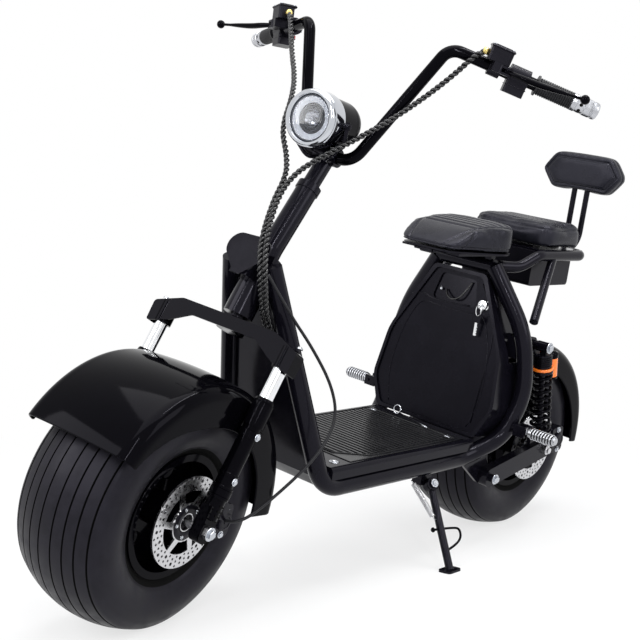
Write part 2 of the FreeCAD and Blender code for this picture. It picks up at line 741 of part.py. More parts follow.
def lamp_bucket():
    face, way = lamp_place()
    r = LAMP_RADIUS - BEZEL_GAUGE
    back = -BEZEL_DEPTH - BUCKET_DEPTH
    shoulder, dome = lamp_shoulder()
    slant = math.sqrt(0.5) * dome
    outline = [(0, back), (dome, shoulder, slant, shoulder - slant), (r, -BEZEL_DEPTH),
               (r, BEZEL_LAP - BEZEL_DEPTH), (0, BEZEL_LAP - BEZEL_DEPTH)]
    return turned(outline, face, way)


def lamp_bezel():
    face, way = lamp_place()
    r = LAMP_RADIUS
    inner = r - BEZEL_GAUGE + FIT
    mouth = r - BEZEL_FACE
    outline = [(mouth, -4), (r - 4, 0), (r, -6), (r, -BEZEL_DEPTH), (inner, -BEZEL_DEPTH),
               (inner, BEZEL_LAP + FIT - BEZEL_DEPTH), (mouth, BEZEL_LAP + FIT - BEZEL_DEPTH)]
    return turned(outline, face, way)


def lamp_lens():
    face, way = lamp_place()
    r = LAMP_RADIUS - BEZEL_FACE - FIT
    low = BEZEL_LAP + FIT - BEZEL_DEPTH
    crown, rim = -3.0, -8.0
    rise = crown - rim
    ball_radius = (r ** 2 + rise ** 2) / (2 * rise)
    angle = math.atan2(r, ball_radius - rise) / 2
    middle = (ball_radius * math.sin(angle), crown - ball_radius + ball_radius * math.cos(angle))
    outline = [(0, low), (r, low), (r, rim), (0, crown, middle[0], middle[1])]
    return turned(outline, face, way)


# Frame

def frame_route():
    """The left main tube from the neck to the tower's top: x, y, z, bend radius."""
    return [
        (350, 52, 656, 0),
        (214, RAIL_Y + 2, RAIL_Z, 62),
        (-248, RAIL_Y + 2, RAIL_Z, 110),
        (-336, 172, 286, 90),
        (-364, 191, 388, 190),
        (-362, 166, 520, 260),
        (-334, 76, 655, 0),
    ]


def side_tube(radius):
    route = frame_route()
    return bent_rod([p[:3] for p in route], radius, [p[3] for p in route[1:-1]])


def frame_tubes():
    left = side_tube(TUBE_RADIUS)
    pieces = [left, mirror(left)]
    for x in CROSS_TUBES_X:
        pieces.append(rod((x, -RAIL_Y, RAIL_Z), (x, RAIL_Y, RAIL_Z), CROSS_TUBE_RADIUS))
    top = frame_route()[-1]
    pieces.append(rod((top[0], -top[1], top[2]), (top[0], top[1], top[2]), TUBE_RADIUS - 3))
    return fused(pieces)


def head_tube_and_gussets():
    """Head tube, the plates that tie it to the main tubes, and the cover in front."""
    low, high = HEAD_BOTTOM, HEAD_TOP
    tube = rod(fork(-AXLE_LEAD, 0, low), fork(-AXLE_LEAD, 0, high), HEAD_RADIUS)
    gusset = side_slab([(372, 576), (392, 664), (340, 676), (248, 452), (276, 452)], 30, 36)
    bore = rod(fork(-AXLE_LEAD, 0, low - 2), fork(-AXLE_LEAD, 0, high + 2),
               STEERER_RADIUS + 1)
    return tube, gusset, bore


def neck():
    tube, gusset, bore = head_tube_and_gussets()
    plate = slab(rounded([(0, 430, 22), (62, 486, 24), (40, 516, 30), (-40, 516, 30),
                          (-62, 486, 24)]), 4, fork_frame(41))
    stay = slab([(-22, 440), (22, 440), (22, 494), (-22, 494)], 41 - 14, fork_frame(14))
    web = slab([(-40, 466), (40, 466), (40, 496), (-40, 496)], 4, fork_frame(8))
    solid = fused([tube, plate, stay, web])
    fat = side_tube(TUBE_RADIUS + FIT)
    return cut(solid, [bore, fat, mirror(fat)])


def front_panel():
    """The flat shield between the two down tubes."""
    top = Vector(*frame_route()[0][:3])
    foot = Vector(*frame_route()[1][:3])
    slope = (Vector(top.x, 0, top.z) - Vector(foot.x, 0, foot.z))
    length = slope.Length
    up = slope.normalize()
    out = Y_AXIS.cross(up)
    corners = []
    for share in PANEL_SPAN:
        half = foot.y + (top.y - foot.y) * share
        corners.append((half, share * length))
    (low_half, low), (high_half, high) = corners
    outline = [(-low_half, low), (low_half, low), (high_half, high), (-high_half, high)]
    origin = Vector(foot.x, 0, foot.z)
    sheet = slab(outline, SHEET, frame(origin - out * SHEET / 2, Y_AXIS, up))
    fat = side_tube(TUBE_RADIUS + FIT)
    room = rod(fork(-AXLE_LEAD, 0, HEAD_BOTTOM - 5), fork(-AXLE_LEAD, 0, HEAD_TOP),
               HEAD_RADIUS + FIT)
    loom_hole = rod(LOOM_AT_FRAME[-2], LOOM_AT_FRAME[-1], LOOM_RADIUS + 2 * FIT)
    return cut(sheet, [fat, mirror(fat), room, loom_hole])


def floor_box_half():
    return RAIL_Y + 2 - TUBE_RADIUS - 1


def floor_box():
    """The tray under the deck that holds the battery."""
    half = floor_box_half()
    top = DECK_TOP - DECK_DEPTH - FIT
    back = DECK_BACK_X + 6
    g = SHEET
    whole = side_slab(rounded([
        (back, FLOOR_BOX_BOTTOM, 8), (FLOOR_BOX_FRONT, FLOOR_BOX_BOTTOM, 30),
        (DECK_FRONT_X, 252, 12), (DECK_FRONT_X, top, 0), (back, top, 0)]), -half, half)
    inside = side_slab(rounded([
        (back + g, FLOOR_BOX_BOTTOM + g, 8 - g), (FLOOR_BOX_FRONT - 1, FLOOR_BOX_BOTTOM + g, 30 - g),
        (DECK_FRONT_X - g - 1, 252, 12), (DECK_FRONT_X - g - 1, top + 1, 0), (back + g, top + 1, 0)]),
        g - half, half - g)
    crossings = [rod((x, -RAIL_Y, RAIL_Z), (x, RAIL_Y, RAIL_Z), CROSS_TUBE_RADIUS + FIT)
                 for x in CROSS_TUBES_X]
    return cut(whole, [inside] + crossings)


def battery():
    half = floor_box_half() - SHEET - 8
    gap = CROSS_TUBE_RADIUS + 6
    low = FLOOR_BOX_BOTTOM + SHEET + FIT
    return block((CROSS_TUBES_X[1] + gap, -half, low),
                 (CROSS_TUBES_X[0] - gap, half, DECK_TOP - DECK_DEPTH - 2))


def deck_plate():
    plate = block((DECK_BACK_X, -DECK_HALF_WIDTH, DECK_TOP - DECK_DEPTH),
                  (DECK_FRONT_X, DECK_HALF_WIDTH, DECK_TOP))
    long_edges = [e for e in plate.Edges
                  if abs(e.CenterOfMass.z - DECK_TOP) < 0.1
                  and abs(abs(e.CenterOfMass.y) - DECK_HALF_WIDTH) < 0.1]
    plate = plate.makeFillet(10, long_edges)
    fat = side_tube(TUBE_RADIUS + FIT)
    return cut(plate, [fat, mirror(fat)])


def deck_mat():
    low = DECK_TOP + FIT / 10
    return slab(rounded([
        (MAT_BACK_X, -MAT_HALF_WIDTH, 14), (MAT_FRONT_X, -MAT_HALF_WIDTH, 14),
        (MAT_FRONT_X, MAT_HALF_WIDTH, 14), (MAT_BACK_X, MAT_HALF_WIDTH, 14)]),
        MAT_GAUGE, Placement(Vector(0, 0, low), Rotation()))


# Seat tower

def tower_outline(inset):
    """Half widths of the tower by height, as a shield seen from the front."""
    rows = [
        # height, half width, corner radius
        (DECK_TOP + 1 + inset, 140 - inset, 16),
        (352, 172 - inset, 60),
        (470, 158 - inset, 120),
        (TOWER_TOP - inset, 72 - inset, 18),
    ]
    right = [(-half, z, radius) for z, half, radius in rows]
    left = [(half, z, radius) for z, half, radius in reversed(rows)]
    return rounded([right[0]] + left[::-1] + right[:0:-1])


def tower_frame(back=0.0):
    """Local X left, local Y up the tower's front face, local Z forward."""
    lean = math.radians(TOWER_LEAN)
    up = Vector(-math.sin(lean), 0, math.cos(lean))
    out = Y_AXIS.cross(up)
    foot = Vector(TOWER_FOOT_X, 0, DECK_TOP) - out * back - up * DECK_TOP
    return frame(foot, Y_AXIS, up)


def tyre_room():
    room = TYRE_RADIUS + TYRE_ROOM
    half = TYRE_WIDTH / 2 + TYRE_ROOM / 2
    return rod(REAR_AXLE - Y_AXIS * half, REAR_AXLE + Y_AXIS * half, room)


def tower_shell():
    whole = slab(tower_outline(0), TOWER_DEPTH, tower_frame(TOWER_DEPTH))
    recess = slab(tower_outline(PANEL_RIM), PANEL_RECESS + 1, tower_frame(PANEL_RECESS))
    inside = slab(tower_outline(6), TOWER_DEPTH - PANEL_RECESS - SHEET - 1,
                  tower_frame(TOWER_DEPTH + 1))
    fat = side_tube(TUBE_RADIUS + FIT)
    floor_cut = block((-700, -300, 0), (300, 300, DECK_TOP + FIT))
    slots = [block(*shock_slot(side)) for side in (-1, 1)]
    return cut(whole, [recess, inside, tyre_room(), fat, mirror(fat), floor_cut] + slots)


def tower_panel():
    panel = slab(tower_outline(PANEL_RIM + FIT), PANEL_GAUGE, tower_frame(PANEL_RECESS - FIT))
    pocket = slab(rounded([(-62, 560, 10), (62, 560, 10), (48, 622, 10), (-48, 622, 10)]), 10,
                  tower_frame(PANEL_RECESS + 2))
    return cut(panel, [pocket, block((-700, -300, 0), (300, 300, DECK_TOP + FIT))])


def lock_and_key():
    place = tower_frame(PANEL_RECESS - PANEL_GAUGE - FIT * 2)
    at = place.multVec(Vector(LOCK_Y, LOCK_Z, 0))
    out = place.Rotation.multVec(Z_AXIS)
    barrel = rod(at, at + out * 12, 9)
    collar = rod(at, at + out * 4, 11)
    key = slab([(-2, -4), (2, -4), (2, -40), (-2, -40)], 2, frame(at + out * 12.5, Y_AXIS, Z_AXIS))
    head = rod(at + out * 11, at + out * 16, 7)
    return fused([barrel, collar, head, key])


# Seats

def saddle_hinge():
    return Vector(SADDLE_FRONT_X - 16, 0, SADDLE_BOTTOM - 4)


def saddle_base():
    """The bracket on the tower's top tube, with the saddle's hinge pin in front."""
    hinge = saddle_hinge()
    plate = block((SADDLE_BACK_X + 20, -78, SADDLE_BOTTOM - FIT - 5),
                  (hinge.x - 10, 78, SADDLE_BOTTOM - FIT))
    plate = plate.cut(block((-320, -50, SADDLE_BOTTOM - 8), (-230, 50, SADDLE_BOTTOM)))
    top = frame_route()[-1]
    pieces = [plate]
    for side in (-1, 1):
        pieces.append(block((top[0] - 8, side * 62 - 8, top[2] - 4),
                            (top[0] + 8, side * 62 + 8, SADDLE_BOTTOM - 4)))
        pieces.append(block((hinge.x - 14, side * 26 - 8, hinge.z - HINGE_PIN),
                            (hinge.x, side * 26 + 8, hinge.z + HINGE_PIN)))
    pieces.append(rod(hinge - Y_AXIS * 34, hinge + Y_AXIS * 34, HINGE_PIN))
    cross = rod((top[0], -200, top[2]), (top[0], 200, top[2]), TUBE_RADIUS - 3 + FIT)
    return cut(fused(pieces), [cross])


def saddle_plan(inset, depth, height):
    """The saddle seen from above, as a slab at a height."""
    front, back = SADDLE_FRONT_X - inset, SADDLE_BACK_X + inset
    narrow, wide = SADDLE_FRONT_WIDTH / 2 - inset, SADDLE_BACK_WIDTH / 2 - inset
    return slab(rounded([(front, narrow, 34), (back, wide, 58), (back, -wide, 58), (front, -narrow, 34)]),
                depth, Placement(Vector(0, 0, height), Rotation()))


def saddle_pan():
    """The plate under the saddle's padding, with its knuckle on the hinge pin."""
    hinge = saddle_hinge()
    knuckle = rod(hinge - Y_AXIS * 16, hinge + Y_AXIS * 16, HINGE_PIN + 3)
    hole = rod(hinge - Y_AXIS * 20, hinge + Y_AXIS * 20, HINGE_PIN + PIN_FIT)
    plate = saddle_plan(6, PAN_GAUGE, SADDLE_BOTTOM)
    return cut(fused([plate, knuckle]), [hole])


def saddle():
    """A wedge that widens to the rear, with a sloping nose."""
    low = SADDLE_BOTTOM + PAN_GAUGE + FIT
    half = SADDLE_BACK_WIDTH / 2
    profile = side_slab(rounded([
        (SADDLE_FRONT_X + 10, low, 0), (SADDLE_FRONT_X, SADDLE_NOSE, 8),
        (SADDLE_NOSE_X, SADDLE_NOSE_TOP, 60), (SADDLE_BACK_X, SADDLE_TOP, 24),
        (SADDLE_BACK_X - 10, low, 0)]), -half, half)
    sides = slab(rounded([
        (-half - 1, low - 5, 0), (half + 1, low - 5, 0),
        (half - 12, SADDLE_TOP + 1, 34), (12 - half, SADDLE_TOP + 1, 34)]),
        SADDLE_FRONT_X - SADDLE_BACK_X + 40, frame((SADDLE_BACK_X - 20, 0, 0), Y_AXIS, Z_AXIS))
    return saddle_plan(0, SADDLE_TOP, 0).common(profile).common(sides)


def passenger_seat():
    body = slab(rounded([
        (PILLION_FRONT_X, PILLION_HALF_WIDTH, 26), (PILLION_BACK_X, PILLION_HALF_WIDTH, 26),
        (PILLION_BACK_X, -PILLION_HALF_WIDTH, 26), (PILLION_FRONT_X, -PILLION_HALF_WIDTH, 26)]),
        PILLION_TOP - PILLION_BOTTOM, Placement(Vector(0, 0, PILLION_BOTTOM), Rotation()))
    top_edges = [e for e in body.Edges if e.BoundBox.ZMin > PILLION_TOP - 0.1]
    return body.makeFillet(12, top_edges)


def rear_rack():
    top = frame_route()[-1]
    start_x = top[0] - TUBE_RADIUS
    half = RACK_HALF_WIDTH
    left = [
        (start_x, top[1] - 6, top[2]), (SADDLE_BACK_X - 16, half - 14, top[2] + 2),
        (PILLION_FRONT_X + 24, half, RACK_Z), (RACK_BACK_X, half, RACK_Z),
    ]
    right = [(x, -y, z) for x, y, z in reversed(left)]
    loop = bent_rod(left + right, RACK_RADIUS, (60, 40, RACK_CORNER, RACK_CORNER, 40, 60))
    tray = block((RACK_BACK_X, 4 - half, RACK_Z + 8.5), (PILLION_FRONT_X + 10, half - 4, RACK_Z + 12))
    pads = []
    for x in (PILLION_FRONT_X - 40, PILLION_BACK_X + 40):
        pads.append(block((x - 15, -60, RACK_Z + 11), (x + 15, 60, PILLION_BOTTOM - FIT)))
    strut = rod((-520, half, RACK_Z - 4), (-381, 172, 548), 10)
    fat = side_tube(TUBE_RADIUS + FIT)
    cross = rod((top[0], -200, top[2]), (top[0], 200, top[2]), TUBE_RADIUS - 3 + FIT)
    return cut(fused([loop, tray] + pads + [strut, mirror(strut)]), [fat, mirror(fat), cross])


def rack_box():
    top = RACK_Z + 8 - FIT
    outline = rounded([(BOX_FRONT_X, BOX_BOTTOM, 8), (BOX_FRONT_X, top, 0), (BOX_BACK_X, top, 0),
                       (BOX_BACK_X, BOX_BOTTOM, 8)])
    half = RACK_HALF_WIDTH - RACK_RADIUS - 2
    return side_slab(outline, -half, half)


def tail_lamp():
    return block((BOX_BACK_X - FIT - 20, -46, BOX_BOTTOM + 14), (BOX_BACK_X - FIT, 46, BOX_BOTTOM + 44))


def backrest_posts():
    posts = []
    for side in (-1, 1):
        y = side * POST_SPACING / 2
        posts.append(bent_rod([
            (RACK_BACK_X - RACK_RADIUS + 1, y, RACK_Z), (POST_X, y, RACK_Z),
            (POST_X, y, BACKREST_Z - BACKREST_HEIGHT / 2 + POST_SINK - FIT)],
            POST_RADIUS, (44,)))
    foot = block((RACK_BACK_X - RACK_RADIUS - 8, -32, RACK_Z - 10),
                 (RACK_BACK_X - RACK_RADIUS - FIT, 32, RACK_Z + 10))
    rail = rod((RACK_BACK_X, -60, RACK_Z), (RACK_BACK_X, 60, RACK_Z), RACK_RADIUS + FIT)
    return fused(posts + [foot]).cut(rail)


def backrest():
    half = BACKREST_WIDTH / 2
    tall = BACKREST_HEIGHT / 2
    pad = slab(rounded([
        (-half, 0, 16), (-half + 36, -tall, 24), (half - 36, -tall, 24), (half, 0, 16),
        (half - 36, tall, 24), (-half + 36, tall, 24)]), BACKREST_DEPTH,
        frame((POST_X - BACKREST_DEPTH / 2, 0, BACKREST_Z), Y_AXIS, Z_AXIS))
    sockets = []
    for side in (-1, 1):
        y = side * POST_SPACING / 2
        low = BACKREST_Z - tall
        sockets.append(rod((POST_X, y, low - 5), (POST_X, y, low + POST_SINK), POST_RADIUS + FIT))
    return cut(pad, sockets)


# Fenders

def fender(axle, radius, half_width, start, end):
    r, w, g = radius, half_width, FENDER_GAUGE
    skirt = r - FENDER_SKIRT
    bend = 24.0
    lift = 5.0
    outline = [
        (skirt, w), (r - lift - bend, w),
        (r - lift, w - bend, r - lift - bend * 0.29, w - bend * 0.29),
        (r - lift, bend - w, r, 0),
        (r - lift - bend, -w, r - lift - bend * 0.29, bend * 0.29 - w),
        (skirt, -w), (skirt, g - w), (r - lift - bend, g - w),
        (r - lift - g, bend - w, r - lift - g - (bend - g) * 0.29, (bend - g) * 0.29 + g - w),
        (r - lift - g, w - bend, r - g, 0),
        (r - lift - bend, w - g, r - lift - g - (bend - g) * 0.29, w - g - (bend - g) * 0.29),
        (skirt, w - g),
    ]
    face = outline_face(outline)
    face.rotate(Vector(0, 0, 0), Y_AXIS, -start)
    solid = face.revolve(Vector(0, 0, 0), Y_AXIS, start - end)
    solid.Placement = Placement(axle, Rotation())
    return solid


def front_fender():
    return fender(FRONT_AXLE, FRONT_FENDER_RADIUS, FRONT_FENDER_HALF_WIDTH,
                  FRONT_FENDER_START, FRONT_FENDER_END)


def rear_fender():
    return fender(REAR_AXLE, REAR_FENDER_RADIUS, REAR_FENDER_HALF_WIDTH,
                  REAR_FENDER_START, REAR_FENDER_END)


# Rear end

def swingarm():
    """Both arms: flat bars from the pivots to the axle, with the shocks' lower pins."""
    pivot_at = Vector(PIVOT_X, 0, PIVOT_Z)
    back = (REAR_AXLE - pivot_at).normalize()
    length = (REAR_AXLE - pivot_at).Length
    up = Y_AXIS.cross(back) * -1
    half = ARM_HEIGHT / 2
    outline = rounded([(-20, -half, 18), (length + 26, -half, 18), (length + 26, half, 18),
                       (-20, half, 18)])
    inner_y = ARM_Y - ARM_GAUGE / 2
    arm = slab(outline, ARM_GAUGE, frame(pivot_at + Y_AXIS * (inner_y + ARM_GAUGE), back, up))
    eye_face = SHOCK_Y - SHOCK_EYE_WIDTH / 2 - FIT
    foot = block((SHOCK_FOOT_X - 14, inner_y + 3, SHOCK_FOOT_Z - 50),
                 (SHOCK_FOOT_X + 14, eye_face, SHOCK_FOOT_Z + 6))
    lug = rod((SHOCK_FOOT_X, inner_y + 4, SHOCK_FOOT_Z),
              (SHOCK_FOOT_X, SHOCK_Y + SHOCK_EYE_WIDTH / 2 + 4, SHOCK_FOOT_Z), SHOCK_PIN)
    axle_hole = rod(REAR_AXLE + Y_AXIS * (ARM_Y - 30), REAR_AXLE + Y_AXIS * (ARM_Y + 30),
                    AXLE_RADIUS + PIN_FIT)
    pivot = rod((PIVOT_X, inner_y - 15, PIVOT_Z), (PIVOT_X, inner_y + ARM_GAUGE + 11, PIVOT_Z), 9)
    return both(cut(fused([arm, foot, lug, pivot]), [axle_hole]))


def shock_way():
    top = Vector(SHOCK_TOP_X, SHOCK_Y, SHOCK_TOP_Z)
    foot = Vector(SHOCK_FOOT_X, SHOCK_Y, SHOCK_FOOT_Z)
    return top, foot, (top - foot).normalize()


def shock_seats():
    """How far up the shock the spring's lower and upper seats are."""
    top, foot, up = shock_way()
    length = (top - foot).Length
    return 20.0, length - SHOCK_NECK - SHOCK_BODY_LENGTH


def shock_bodies():
    top, foot, up = shock_way()
    low, high = shock_seats()
    half = SHOCK_EYE_WIDTH / 2
    pieces = [rod(foot, top, 7)]
    holes = []
    for eye_at in (foot, top):
        pieces.append(rod(eye_at - Y_AXIS * half, eye_at + Y_AXIS * half, SHOCK_EYE))
        holes.append(rod(eye_at - Y_AXIS * 30, eye_at + Y_AXIS * 30, SHOCK_PIN + PIN_FIT))
    pieces.append(rod(foot + up * (low - 7), foot + up * low, SPRING_RADIUS))
    pieces.append(rod(foot + up * high, foot + up * (high + 6), SPRING_RADIUS))
    pieces.append(rod(foot + up * high, foot + up * (high + SHOCK_BODY_LENGTH), SHOCK_BODY))
    return both(cut(fused(pieces), holes))


def shock_springs():
    """The coils as one ribbed sleeve, one rib for each turn."""
    top, foot, up = shock_way()
    low, high = shock_seats()
    low, high = low + FIT, high - FIT
    pitch = (high - low) / SPRING_TURNS
    groove = SPRING_RADIUS - SPRING_WIRE - 1
    outer = []
    for turn in range(SPRING_TURNS):
        base = low + pitch * turn
        outer += [(groove, base), (SPRING_RADIUS, base + pitch * 0.3),
                  (SPRING_RADIUS, base + pitch * 0.7)]
    inner = SPRING_RADIUS - 2 * SPRING_WIRE
    return both(turned([(inner, low)] + outer + [(groove, high), (inner, high)], foot, up))


def shock_reservoirs():
    top, foot, up = shock_way()
    back = Vector(-1, 0, 0)
    base = top - up * 78 + back * RESERVOIR_BACK
    can = rod(base, base + up * 60, RESERVOIR_RADIUS)
    bridge = rod(base + up * 48, base + up * 48 - back * RESERVOIR_BACK, 6)
    return both(fused([can, bridge]).cut(rod(foot, top, SHOCK_BODY + FIT)))


def shock_plate_y():
    """The inner and outer faces of the plate that carries a shock's top."""
    outer = SHOCK_Y - SPRING_RADIUS - 2
    return outer - BRACKET_GAUGE, outer


def shock_slot(side):
    """The room that the tower's cover leaves for a shock's plate."""
    low_y, high_y = shock_plate_y()
    low_y, high_y = sorted((side * (low_y - FIT), side * (SHOCK_Y + SHOCK_EYE_WIDTH / 2)))
    return ((SHOCK_PLATE_FRONT_X - 58, low_y, SHOCK_TOP_Z - SHOCK_SLOT_HALF),
            (SHOCK_PLATE_FRONT_X + 22, high_y, SHOCK_TOP_Z + SHOCK_SLOT_HALF))


def shock_bracket():
    low_y, high_y = shock_plate_y()
    rear = SHOCK_TOP_X - 14
    front = SHOCK_PLATE_FRONT_X
    plate = side_slab(rounded([
        (rear, SHOCK_TOP_Z - 14, 12), (front, SHOCK_TOP_Z - 30, 0), (front, SHOCK_TOP_Z + 30, 0),
        (rear, SHOCK_TOP_Z + 14, 12)]), low_y, high_y)
    foot = block((front - SHOCK_FOOT_LENGTH, low_y, SHOCK_TOP_Z - 24), (front, SHOCK_Y, SHOCK_TOP_Z + 24))
    boss = rod((SHOCK_TOP_X, low_y, SHOCK_TOP_Z),
               (SHOCK_TOP_X, SHOCK_Y - SHOCK_EYE_WIDTH / 2 - FIT, SHOCK_TOP_Z), 10)
    pin = rod((SHOCK_TOP_X, low_y, SHOCK_TOP_Z),
              (SHOCK_TOP_X, SHOCK_Y + SHOCK_EYE_WIDTH / 2 + 4, SHOCK_TOP_Z), SHOCK_PIN)
    return fused([plate, foot, boss, pin])


def fender_stay():
    """The bar between the shocks' plates, with two tabs on the rear fender."""
    low_y, high_y = shock_plate_y()
    at = Vector(SHOCK_TOP_X + 4, 0, SHOCK_TOP_Z - 15)
    pieces = [rod(at - Y_AXIS * low_y, at + Y_AXIS * low_y, 6)]
    for side in (-1, 1):
        y = side * 22
        pieces.append(block((at.x - 8, y - 9, at.z - 40), (at.x + 8, y + 9, at.z)))
    room = rod(REAR_AXLE - Y_AXIS * 60, REAR_AXLE + Y_AXIS * 60, REAR_FENDER_RADIUS + FIT)
    return fused(pieces).cut(room)


def pivot_bracket():
    outer = ARM_Y - ARM_GAUGE / 2 - FIT
    plate = side_slab(rounded([
        (PIVOT_X - 16, PIVOT_Z - 16, 12), (PIVOT_X + 20, PIVOT_Z - 16, 12),
        (PIVOT_PLATE_FRONT_X, RAIL_Z - 16, 0), (PIVOT_PLATE_FRONT_X, RAIL_Z + 10, 0),
        (PIVOT_X + 30, PIVOT_PLATE_TOP_Z, 0),
        (PIVOT_X - 16, PIVOT_Z + 20, 12)]), outer - BRACKET_GAUGE, outer)
    return plate.cut(rod((PIVOT_X, 100, PIVOT_Z), (PIVOT_X, 200, PIVOT_Z), 9 + PIN_FIT))


def peg_bracket():
    root_y = PEG_HINGE_Y - 20
    arm = rod((PEG_X, 176, PEG_Z), (PEG_X, root_y + 4, PEG_Z), 11)
    pieces = [arm, block((PEG_X - 17, root_y, PEG_Z - 12), (PEG_X + 17, root_y + 6, PEG_Z + 12))]
    for side in (-1, 1):
        x = PEG_X + side * 14
        pieces.append(block((x - 3, root_y, PEG_Z - 12), (x + 3, PEG_HINGE_Y + 10, PEG_Z + 12)))
    pieces.append(rod((PEG_X - 20, PEG_HINGE_Y, PEG_Z), (PEG_X + 20, PEG_HINGE_Y, PEG_Z), PEG_PIN))
    return fused(pieces)


def side_brackets():
    """Plates that carry the shocks' tops, the swing arm's pivots and the footpegs."""
    tube = side_tube(TUBE_RADIUS + FIT)
    brackets = (shock_bracket(), pivot_bracket(), peg_bracket())
    return Part.makeCompound([both(bracket.cut(tube)) for bracket in brackets])


def footpeg():
    start = PEG_HINGE_Y + 2
    eye = rod((PEG_X - 10.7, PEG_HINGE_Y, PEG_Z), (PEG_X + 10.7, PEG_HINGE_Y, PEG_Z), 8)
    neck_bar = rod((PEG_X, PEG_HINGE_Y, PEG_Z), (PEG_X, start + 14, PEG_Z), 6)
    low = start + 12
    pitch = (PEG_LENGTH - 12) / 6
    outline = [(0, low)]
    for rib in range(6):
        base = low + rib * pitch
        outline += [(PEG_RADIUS, base), (PEG_RADIUS, base + pitch * 0.6),
                    (PEG_RADIUS - 3, base + pitch * 0.7), (PEG_RADIUS - 3, base + pitch)]
    outline.append((0, low + 6 * pitch))
    barrel = turned(outline, (PEG_X, 0, PEG_Z), Y_AXIS)
    hole = rod((PEG_X - 30, PEG_HINGE_Y, PEG_Z), (PEG_X + 30, PEG_HINGE_Y, PEG_Z),
               PEG_PIN + PIN_FIT)
    return cut(fused([eye, neck_bar, barrel]), [hole])


def caliper(axle, disc_y, angle):
    """A two-piston brake caliper that straddles the disc's edge at an angle."""
    way = Vector(math.cos(math.radians(angle)), 0, math.sin(math.radians(angle)))
    centre = axle + way * (DISC_RADIUS - 8) + Y_AXIS * (disc_y - CALIPER_WIDTH / 2)
    outline = rounded([(-22, -32, 8), (24, -32, 12), (24, 32, 12), (-22, 32, 8)])
    solid = slab(outline, CALIPER_WIDTH, frame(centre, way, Y_AXIS.cross(way)))
    half_slot = DISC_GAUGE / 2 + 2
    slot = rod(axle + Y_AXIS * (disc_y - half_slot), axle + Y_AXIS * (disc_y + half_slot),
               DISC_RADIUS + 4)
    return solid.cut(slot)


def front_caliper():
    body = caliper(FRONT_AXLE, FRONT_DISC_Y, 186)
    leg = rod(fork(0, LEG_Y, -30), fork(0, LEG_Y, 200), LOWER_RADIUS + FIT)
    lug = slab([(-22, -30), (22, -30), (22, 60), (-22, 60)], 30,
               frame(fork(0, LEG_Y + 15, 0), FORK_FORWARD, STEER_AXIS))
    arm = slab([(-64, 30), (-14, 24), (-14, 66), (-64, 60)], 8,
               frame(fork(0, LEG_Y - LUG_GAUGE / 2 + 4, 0), FORK_FORWARD, STEER_AXIS))
    return cut(fused([body, arm]), [leg, lug])


def rear_caliper():
    body = caliper(REAR_AXLE, REAR_DISC_Y, 172)
    arm = side_slab([(-640, 222), (-562, 214), (-562, 246), (-640, 262)],
                    REAR_DISC_Y + DISC_GAUGE / 2 + 3, ARM_Y - ARM_GAUGE / 2 - FIT)
    return fused([body, arm])


# Side stand

def lean_point(y, z):
    """Where a floor point of the leaning scooter lies on the upright one."""
    hub = (TYRE_RADIUS - CROWN_RADIUS) * math.cos(math.radians(LEAN_REST)) + CROWN_RADIUS
    sine, cosine = math.sin(math.radians(LEAN_REST)), math.cos(math.radians(LEAN_REST))
    return (y * cosine - (z - hub) * sine, TYRE_RADIUS + y * sine + (z - hub) * cosine)


STAND_HINGE = Vector(STAND_X, STAND_Y, STAND_Z)


def stand_foot():
    y, z = lean_point(STAND_FOOT_OUT, STAND_RADIUS + 2)
    return Vector(STAND_FOOT_X, y, z)


STAND_LEG = (stand_foot() - STAND_HINGE).normalize()
STAND_AXIS = STAND_LEG.cross(Vector(*STAND_FOLD_DIRECTION)).normalize()


def stand_leg():
    foot = stand_foot()
    across = STAND_AXIS
    eye = rod(STAND_HINGE - across * 5, STAND_HINGE + across * 5, 15)
    bar = rod(STAND_HINGE + STAND_LEG * 10, foot + STAND_LEG * 8, STAND_RADIUS)
    lean = math.radians(LEAN_REST)
    floor_left = Vector(0, math.cos(lean), math.sin(lean))
    floor_up = Vector(0, -math.sin(lean), math.cos(lean))
    sole = foot - floor_up * (STAND_RADIUS + 2)
    pad = slab(rounded([(-STAND_PAD, -14, 8), (STAND_PAD, -14, 8), (STAND_PAD, 18, 8),
                        (-STAND_PAD, 18, 8)]), 5, frame(sole, (1, 0, 0), floor_left))
    hole = rod(STAND_HINGE - across * 20, STAND_HINGE + across * 20, 5 + PIN_FIT)
    cheek_rooms = [rod(STAND_HINGE + across * side * 5, STAND_HINGE + across * side * 20, 15)
                   for side in (-1, 1)]
    under = slab([(-60, -60), (60, -60), (60, 60), (-60, 60)], 30,
                 frame(sole - floor_up * 30, (1, 0, 0), floor_left))
    return cut(fused([eye, bar, pad]), [hole, under] + cheek_rooms)


def stand_bracket():
    across = STAND_AXIS
    pin = rod(STAND_HINGE - across * 14, STAND_HINGE + across * 14, 5)
    cheeks = []
    for side in (-1, 1):
        low = STAND_HINGE + across * side * (5 + FIT)
        cheeks.append(rod(low, low + across * side * 5, 14))
    arm_y = RAIL_Y - 8
    arm = block((STAND_X - 18, arm_y - 20, STAND_Z - 4), (STAND_X + 18, arm_y + 4, FLOOR_BOX_BOTTOM - FIT))
    web = []
    for side in (-1, 1):
        low = STAND_HINGE + across * side * (5 + FIT + 2.5)
        web.append(rod(low, Vector(STAND_X + side * 8, arm_y - 6, STAND_Z + 8), 5))
    swing_room = rod(STAND_HINGE - across * (5 + FIT), STAND_HINGE + across * (5 + FIT), 17)
    rail = side_tube(TUBE_RADIUS + FIT)
    body = cut(fused([arm] + cheeks + web), [swing_room, rail])
    return fused([body, pin])


def stand_spring():
    top = Vector(STAND_X + 62, RAIL_Y + 2, RAIL_Z - TUBE_RADIUS - 6)
    foot = STAND_HINGE + STAND_LEG * 74 + Vector(STAND_RADIUS + 5 + FIT, 0, 0)
    return rod(top, foot, 5)


# Cables

